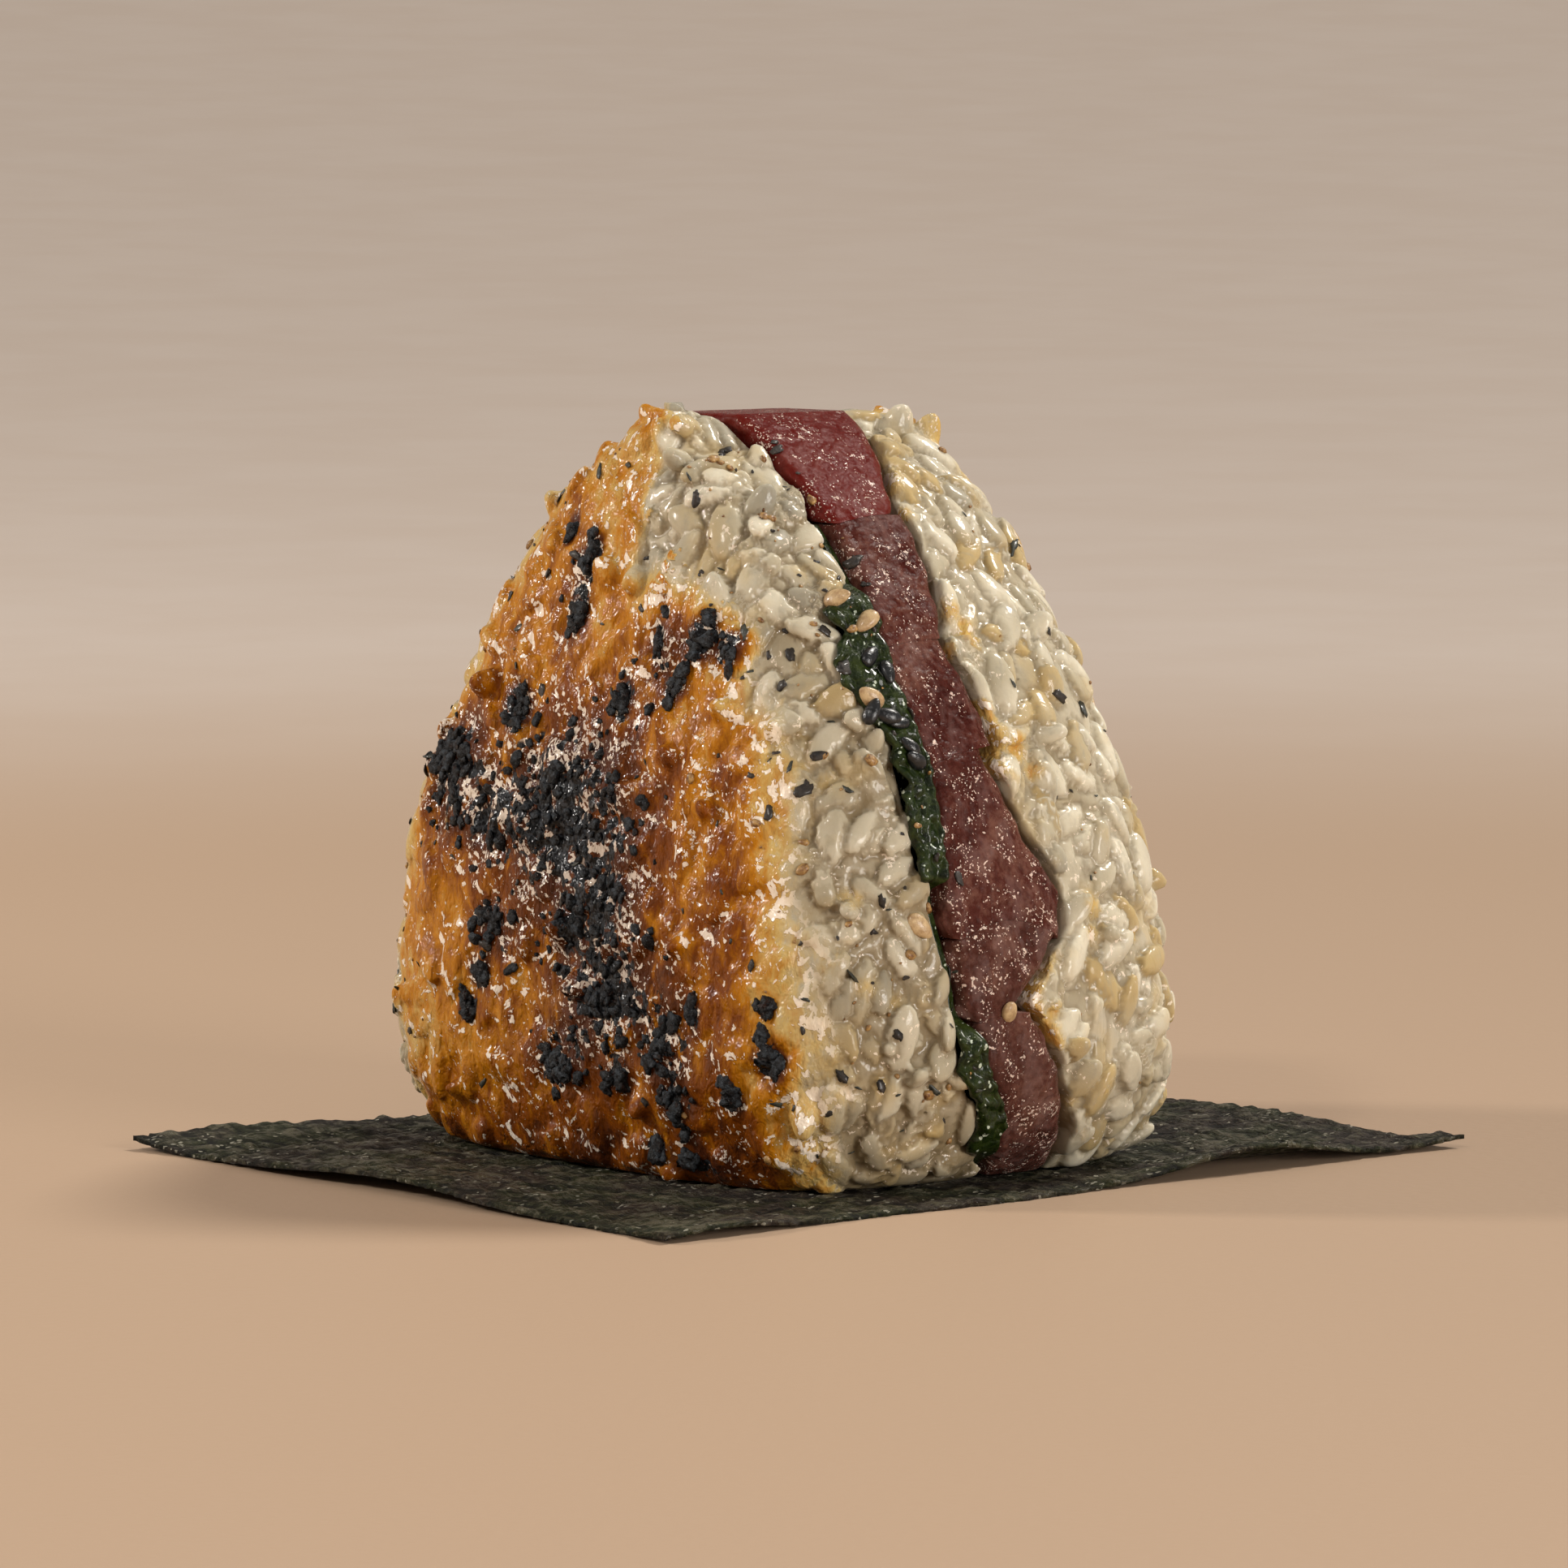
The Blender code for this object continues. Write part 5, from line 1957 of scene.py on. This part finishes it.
@dataclass
class TunaSlice:
    """One slice of tuna through the ball, with a rounded, damp end on each narrow side. Sizes in mm.

    The slices are numbered from 1 at the foot, and each has its own share of ripe red, and its own
    paleness, which is added to the painted highlight along its rim.
    """

    number: int
    ripe: tuple[float, ...] = (0.0, 0.0, 0.08, 0.1, 0.12, 0.75)
    paler: tuple[float, ...] = (0.6, 0.45, 0.15, -0.1, -0.05, 0.1)
    around: int = 150
    rings: int = 32
    round_back: float = 2.6
    round_front: float = 1.1
    round_seam: float = 0.02
    soften: int = 7
    stations: int = 12
    clear: float = 0.02
    inset: float = 0.5
    most_fall: float = 3.2

    def _outline(self) -> np.ndarray:
        """Draws the slice's outline, with round corners.

        Returns:
            The corners y, z of the outline.
        """
        bottom, top, *_ = BALL.slice_rows[self.number - 1]
        z = np.linspace(bottom, top, 40)
        front = BALL.seam(z)[0] + self.clear + 0.12 * np.sin(1.3 * z)
        back = BALL.slice_back(self.number, z)
        under = np.linspace(front[0], back[0], 24)
        over = np.linspace(front[-1], back[-1], 24)
        under_z = BALL.step_line(self.number, under) + self.clear
        over_z = BALL.step_line(self.number + 1, over) - self.clear
        share = (z - bottom) / (top - bottom)
        front_z = under_z[0] + (over_z[0] - under_z[0]) * share
        back_z = under_z[-1] + (over_z[-1] - under_z[-1]) * share
        y = np.concatenate((front, over[1:-1], back[::-1], under[-2:0:-1]))
        z = np.concatenate((front_z, over_z[1:-1], back_z[::-1], under_z[-2:0:-1]))
        path = path_of(np.hypot(np.diff(y, append=y[0]), np.diff(z, append=z[0])))
        even = np.linspace(0.0, path[-1], self.around, endpoint=False)
        ring = np.stack([np.interp(even, path, np.append(line, line[0])) for line in (y, z)], 1)
        for _ in range(self.soften):
            ring = 0.5 * ring + 0.25 * (np.roll(ring, 1, 0) + np.roll(ring, -1, 0))
        return ring

    def _fall(self, spots: np.ndarray) -> np.ndarray:
        """Rounds the rim of an end: gently at the back, tightly where slices meet.

        Args:
            spots: places y, z in the outline.

        Returns:
            How far each falls back.
        """
        y, z = spots[:, 0], spots[:, 1]
        rims = (
            (BALL.slice_back(self.number, z) - y, self.round_back),
            (y - BALL.seam(z)[0], self.round_front),
            (z - BALL.step_line(self.number, y), self.round_seam),
            (BALL.step_line(self.number + 1, y) - z, self.round_seam),
        )
        fall = np.zeros(len(spots))
        for away, radius in rims:
            share = np.clip(1.0 - away / radius, 0.0, 1.0)
            fall += radius * (1.0 - np.sqrt(1.0 - share**2))
        return np.minimum(fall, self.most_fall)

    def _end(self, ring: np.ndarray, side: Side) -> tuple[np.ndarray, np.ndarray]:
        """The corners of one end, ring by ring from its rim to its middle.

        Args:
            ring: the slice's outline.
            side: which narrow side.

        Returns:
            The corners, and how near the rim each is.
        """
        middle = ring.mean(0)
        shares = 1.0 - (np.arange(self.rings) / self.rings) ** 1.2
        shares[1] = 0.996
        spots = np.concatenate([middle + (ring - middle) * share for share in shares] + [middle[None]])
        reach = BALL.side_reach(spots[:, 0], spots[:, 1])
        fall = self._fall(spots)
        where = np.column_stack((np.full(len(spots), side.value * 40.0), spots))
        relief = 0.4 * lumpy(where, 5.5, 1, 40.0) + 0.13 * lumpy(where, 1.3, 2, 50.0)
        relief += 0.16 * lumpy(where * (1.0, 1.0, 0.4), 2.2, 1, 60.0)
        x = side.value * np.maximum(0.5, reach - self.inset + 0.1 - fall + relief)
        return np.column_stack((x, spots)), smooth(0.1, 1.2, fall)

    def build(self, finish: bpy.types.Material) -> bpy.types.Object:
        """Makes the slice.

        Args:
            finish: the tuna material.

        Returns:
            The piece.
        """
        ring = self._outline()
        right, right_edge = self._end(ring, Side.RIGHT)
        left, left_edge = self._end(ring, Side.LEFT)
        shares = np.arange(1, self.stations) / self.stations
        between = [right[: self.around] * (1 - share) + left[: self.around] * share for share in shares]
        points = np.concatenate((right, *between, left))
        edge = np.concatenate((right_edge, np.zeros(len(between) * self.around), left_edge))
        masks = {
            "edge": np.clip(edge + self.paler[self.number - 1], 0.0, 1.0),
            "ripe": np.full(len(points), self.ripe[self.number - 1]),
        }
        name, node = f"tuna_{self.number}", f"tuna_slice_{self.number}"
        return make_piece(name, points, self._faces(len(right)), finish, "tuna", (node,), masks)

    def _faces(self, end_size: int) -> list[tuple[int, ...]]:
        """The slice's faces: the right end, the sides from station to station, and the left end.

        Args:
            end_size: how many corners an end has.

        Returns:
            The faces, as rows of corner numbers.
        """
        count = self.around
        inner = (self.rings - 1) * count
        left = end_size + (self.stations - 1) * count
        faces = joined_rings(range(0, inner + 1, count), count, flip=True)
        faces += joined_rings((0, *range(end_size, left + 1, count)), count)
        faces += joined_rings(range(left, left + inner + 1, count), count)
        for k in range(count):
            after = (k + 1) % count
            faces.append((inner + after, inner + k, end_size - 1))
            faces.append((left + inner + k, left + inner + after, left + end_size - 1))
        return faces


# Leaf


@dataclass
class LeafStrip:
    """The wrinkled leaf before the tuna, folded out over the rice's edge where it shows. Sizes in mm."""

    thickness: float = 0.24
    bottom: float = 0.9
    top: float = 66.0
    step: float = 0.3
    inner: int = 10
    fold: int = 34
    overlap: float = 1.6

    def _shows(self, z: np.ndarray) -> np.ndarray:
        """How far the leaf stands out of the seam at a height, 0 to 1."""
        _, room = BALL.seam(z)
        return smooth(1.7, 2.9, room)

    def _side(self, z: float, side: Side) -> np.ndarray:
        """Folds one row of the leaf out over the rice's edge.

        Args:
            z: the height.
            side: the narrow side.

        Returns:
            The corners, from inside the seam to the free edge.
        """
        at = np.array([z])
        tuna, room = (float(value[0]) for value in BALL.seam(at))
        shows = float(self._shows(at)[0])
        over = self.overlap * shows * (0.5 + 0.5 * float(smooth(42.0, 50.0, at)[0]))
        over *= 1.0 + 0.9 * float(lumpy(np.array([(side.value * 40.0, 0.0, z)]), 3.0, 2, 29.0)[0])
        back, front = tuna - 0.45, tuna - room - over
        share = np.linspace(0.0, 1.0, self.fold)
        y = np.interp(share, (0.0, 0.3, 1.0), (back, back - 0.15, front))
        reach = BALL.side_reach(y, np.full(self.fold, z))
        stand = np.interp(share, (0.0, 0.15, 0.3, 0.85, 1.0), (-4.0, -1.0, 0.15, 0.35, -0.35))
        level = np.full(self.fold, z)
        place = np.column_stack((np.full(self.fold, side.value * 40.0), y, level))
        crumple = 0.75 * lumpy(place, 2.0, 2, 2.0) + 0.4 * lumpy(place, 0.9, 1, 6.0)
        rim = 0.5 * hump(share, 0.94, 0.07) + 0.35 * hump(share, 0.33, 0.06)
        out = stand + shows * (crumple + rim) - 2.4 * (1.0 - shows)
        sway = (0.7 * lumpy(place, 3.4, 1, 11.0) + 0.5 * lumpy(place, 1.4, 1, 19.0)) * share * shows
        return np.column_stack((side.value * (reach + out), y + sway, level))

    def build(self, finish: bpy.types.Material) -> bpy.types.Object:
        """Makes the leaf.

        Args:
            finish: the leaf material.

        Returns:
            The piece.
        """
        heights = np.arange(self.bottom, self.top, self.step)
        run = np.linspace(0.0, 1.0, self.inner + 2)[1:-1, None]
        grid = []
        for z in heights.tolist():
            left, right = self._side(z, Side.LEFT), self._side(z, Side.RIGHT)
            middle = left[0] * (1 - run) + right[0] * run
            grid.append(np.concatenate((left[::-1], middle, right)))
        sheet = np.stack(grid)
        face = sheet.reshape(-1, 3)
        out = grid_normals(sheet) * self.thickness / 2
        points = np.concatenate((face - out, face + out))
        points[:, 2] = np.clip(points[:, 2], self.bottom, self.top)
        faces = shell_faces(len(heights), sheet.shape[1])
        return make_piece("leaf_strip", points, faces, finish, "green_leaf", ("green_leaf",))


# Nori


@dataclass
class NoriSheet:
    """The sheet of nori under the ball: flat beneath it and waving at its edges. Sizes in mm."""

    width: float = 89.0
    length: float = 108.0
    thickness: float = 0.5
    flat_width: float = 34.0
    flat_length: float = 30.0
    waver: float = 0.7
    step: float = 0.49

    def _lift(self, x: np.ndarray, y: np.ndarray) -> np.ndarray:
        """Lifts the sheet a little at its edges.

        Args:
            x: places across.
            y: places along.

        Returns:
            How far each place is lifted.
        """
        over_x = np.maximum(0.0, np.abs(x) - self.flat_width) / (self.width / 2 - self.flat_width)
        over_y = np.maximum(0.0, np.abs(y) - self.flat_length) / (self.length / 2 - self.flat_length)
        front = (1.4 * hump(x, -2, 20) + 0.8 * hump(x, -46, 6)) * (y < 0)
        back = (0.7 * hump(x, 12, 16) + 0.6 * hump(x, -34, 12)) * (y > 0)
        right = (2.4 * hump(y, 25, 13) + 0.9 * hump(y, -46, 8) + hump(y, 56, 8)) * (x > 0)
        left = (0.8 * hump(y, -38, 13) + 0.7 * hump(y, 24, 14)) * (x < 0)
        return smooth(0.0, 1.0, over_y) * (front + back) + smooth(0.0, 1.0, over_x) * (right + left)

    def build(self, finish: bpy.types.Material) -> bpy.types.Object:
        """Makes the sheet.

        Args:
            finish: the nori material.

        Returns:
            The piece.
        """
        columns = int(self.width / self.step)
        rows = int(self.length / self.step)
        across, along = np.meshgrid(np.linspace(-1, 1, columns), np.linspace(-1, 1, rows))
        edge_x = self.width / 2 - self.waver * (0.5 + 0.5 * np.sin(9 * along)) * (1 - along**8)
        edge_y = self.length / 2 - self.waver * (0.5 + 0.5 * np.cos(8 * across)) * (1 - across**8)
        x, y = across * edge_x, along * edge_y
        flat = np.column_stack((x.ravel(), y.ravel(), np.zeros(x.size)))
        ragged = 0.7 * lumpy(flat, 1.8, 3, 3.0)
        rim = np.maximum(np.abs(across), np.abs(along)).ravel() > 0.999

        def torn(place: np.ndarray, share: np.ndarray) -> np.ndarray:
            """The places along one axis, drawn in raggedly at its two ends, where the share is 1 or -1."""
            at_end = rim & (np.abs(share.ravel()) > 0.99)
            return place.ravel() - np.where(at_end, np.abs(ragged) * np.sign(share.ravel()), 0)

        x, y = torn(x, across), torn(y, along)
        lift = self._lift(x, y)
        fibres = np.column_stack((x, y * 0.45, lift * 0.0))
        relief = 0.34 * lumpy(fibres, 1.7, 2, 1.0) + 0.3 * lumpy(flat * (0.5, 1.0, 1.0), 1.5, 1, 7.0)
        crest = np.tile(np.clip(0.5 + relief, 0.0, 1.0), 2)
        under = np.column_stack((x, y, lift + 0.02))
        over = np.column_stack((x, y, np.maximum(lift + 0.3, lift + self.thickness + relief - 0.02)))
        points = np.concatenate((under, over)) - BALL.shift
        faces = shell_faces(rows, columns)
        return make_piece("nori", points, faces, finish, "nori", ("nori_sheet",), {"crest": crest})


# Studio


@dataclass(frozen=True)
class Lamp:
    """One soft light aimed at the food.

    Its place is right, up and towards the camera in metres. Its size is a square's side in metres, or for a
    far one its spread in radians.
    """

    name: str
    at: tuple[float, float, float]
    size: float
    power: float
    colour: Colour
    far: bool = False


@dataclass(frozen=True)
class Studio:
    """A plain pale floor, soft lights and the camera. Places and sizes are in metres."""

    look_at: tuple[float, float, float] = (0.00434, -0.00555, 0.039)
    azimuth: float = 50.0
    elevation: float = 5.0
    distance: float = 0.8
    lens: float = 177.4
    floor_near: Colour = (0.45, 0.315, 0.21)
    floor_far: Colour = (0.61, 0.52, 0.45)
    air: Colour = (1.0, 0.89, 0.8)
    air_strength: float = 0.26
    floor_flat: float = 0.5
    floor_reach: float = 6.0
    floor_rise: float = 0.6
    lamps: tuple[Lamp, ...] = (
        Lamp("key_behind", (0.75, 1.2, -0.62), 0.2, 2.1, (1.0, 0.95, 0.88), far=True),
        Lamp("soft_left", (-1.2, 0.5, -0.1), 0.16, 9.5, (1.0, 0.94, 0.88)),
        Lamp("fill_front", (0.95, 0.25, 0.95), 0.5, 11.5, (1.0, 0.96, 0.92)),
        Lamp("glints", (-0.55, 0.95, 0.8), 0.13, 3.2, (1.0, 0.95, 0.9)),
    )

    def _ways(self) -> tuple[Vector, Vector, Vector]:
        """Finds the camera's own ways.

        Returns:
            The ways back to the camera, to its right and up.
        """
        turn, tilt = math.radians(self.azimuth), math.radians(self.elevation)
        back = Vector((math.sin(turn) * math.cos(tilt), -math.cos(turn) * math.cos(tilt), math.sin(tilt)))
        right = Vector((math.cos(turn), math.sin(turn), 0.0))
        return back, right, back.cross(right)

    def _hang(self, lamp: Lamp) -> None:
        """Hangs one light.

        Args:
            lamp: the light.
        """
        back, right, _ = self._ways()
        ahead = Vector((back.x, back.y, 0.0)).normalized()
        away = right * lamp.at[0] + Vector((0.0, 0.0, lamp.at[1])) + ahead * lamp.at[2]
        light = bpy.data.lights.new(lamp.name, "SUN" if lamp.far else "AREA")
        if lamp.far:
            light.angle = lamp.size
        else:
            light.shape = "SQUARE"
            light.size = lamp.size
        light.energy = lamp.power
        light.color = lamp.colour
        lit = bpy.data.objects.new(lamp.name, light)
        lit.location = Vector(self.look_at) + away
        lit.rotation_mode = "QUATERNION"
        lit.rotation_quaternion = away.to_track_quat("Z", "Y")
        bpy.context.scene.collection.objects.link(lit)

    def _floor(self) -> None:
        """A wide floor that curves gently up behind the food."""
        mesh = bpy.data.meshes.new("floor")
        turns = 96
        rings = np.geomspace(0.3, self.floor_reach, 30)
        beyond = np.maximum(0.0, rings - self.floor_flat) / (self.floor_reach - self.floor_flat)
        rise = self.floor_rise * beyond**2
        way = np.arange(turns) * 2.0 * math.pi / turns
        corners = [(r * math.cos(w), r * math.sin(w), z) for r, z in zip(rings, rise) for w in way]
        faces = [tuple(range(turns))]
        for low in range(0, (len(rings) - 1) * turns, turns):
            for k in range(turns):
                after = (k + 1) % turns
                faces.append((low + k, low + turns + k, low + turns + after, low + after))
        mesh.from_pydata(corners, [], faces)
        mesh.polygons.foreach_set("use_smooth", [True] * len(faces))
        add = Nodes("pale_floor")
        tone = add.mix(add.spread(add.distance(), 0.3, 0.8), self.floor_near, self.floor_far)
        tone = add.mix(add.spread(add.noise(60.0, 4.0, 0.6), 0.3, 0.7, (0.0, 0.12)), tone, self.floor_near)
        add.set(base_color=tone, roughness=0.6, normal=add.bump(add.noise(1.5, 4.0), 0.05))
        mesh.materials.append(add.material)
        floor = bpy.data.objects.new("floor", mesh)
        bpy.context.scene.collection.objects.link(floor)

    def build(self) -> None:
        """Sets the floor, the air, the lights and the camera."""
        scene = bpy.context.scene
        self._floor()
        world = bpy.data.worlds.new("studio_air")
        world.use_nodes = True
        air = world.node_tree.nodes["Background"]
        air.inputs["Color"].default_value = (*self.air, 1.0)
        air.inputs["Strength"].default_value = self.air_strength
        scene.world = world
        scene.view_settings.view_transform = "Standard"
        for lamp in self.lamps:
            self._hang(lamp)
        back, right, up = self._ways()
        camera = bpy.data.cameras.new("camera")
        camera.sensor_width = 36.0
        camera.lens = self.lens
        camera.clip_start = 0.05
        camera.clip_end = 20.0
        eye = bpy.data.objects.new("camera", camera)
        turned = Matrix((right, up, back)).transposed().to_4x4()
        eye.matrix_world = Matrix.Translation(Vector(self.look_at) + back * self.distance) @ turned
        scene.collection.objects.link(eye)
        scene.camera = eye


HALVES = {
    Face.FRONT: RiceHalf(
        face=Face.FRONT,
        name="rice_front_half",
        node="front_rice",
        seed=101,
        starch=0.08,
        swell=0.08,
        tone=0.5,
        stains=FRONT_STAINS,
        kept=0.53,
        painted_shade_weight=0.72,
    ),
    Face.BACK: RiceHalf(
        face=Face.BACK,
        name="rice_back_half",
        node="back_rice",
        seed=202,
        starch=0.1,
        swell=0.12,
        tone=0.34,
        stains=BACK_STAINS,
    ),
}
SINGLE_GRAINS = {
    Face.FRONT: RiceGrains(seed=303, rise=1.15, gap=5.2, crisp_to=120.0),
    Face.BACK: RiceGrains(seed=404, rise=0.85, gap=6.0, crisp_to=70.0),
}


def main() -> None:
    """Builds the food and the studio, in order."""
    logging.basicConfig(level=logging.INFO, format="%(name)s: %(message)s")
    rice, tuna = RiceFinish().material(), TunaFinish().material()
    ground = Ground()
    for face, half in HALVES.items():
        ground.add(half.build(rice, SINGLE_GRAINS[face]))
    CharCrust().build(HALVES, ground, CharFinish().material())
    for number in range(1, len(BALL.slice_rows) + 1):
        ground.add(TunaSlice(number).build(tuna))
    ground.add(LeafStrip().build(LeafFinish().material()))
    Toppings().build(ground)
    NoriSheet().build(NoriFinish().material())
    Studio().build()


if __name__ == "__main__":
    main()
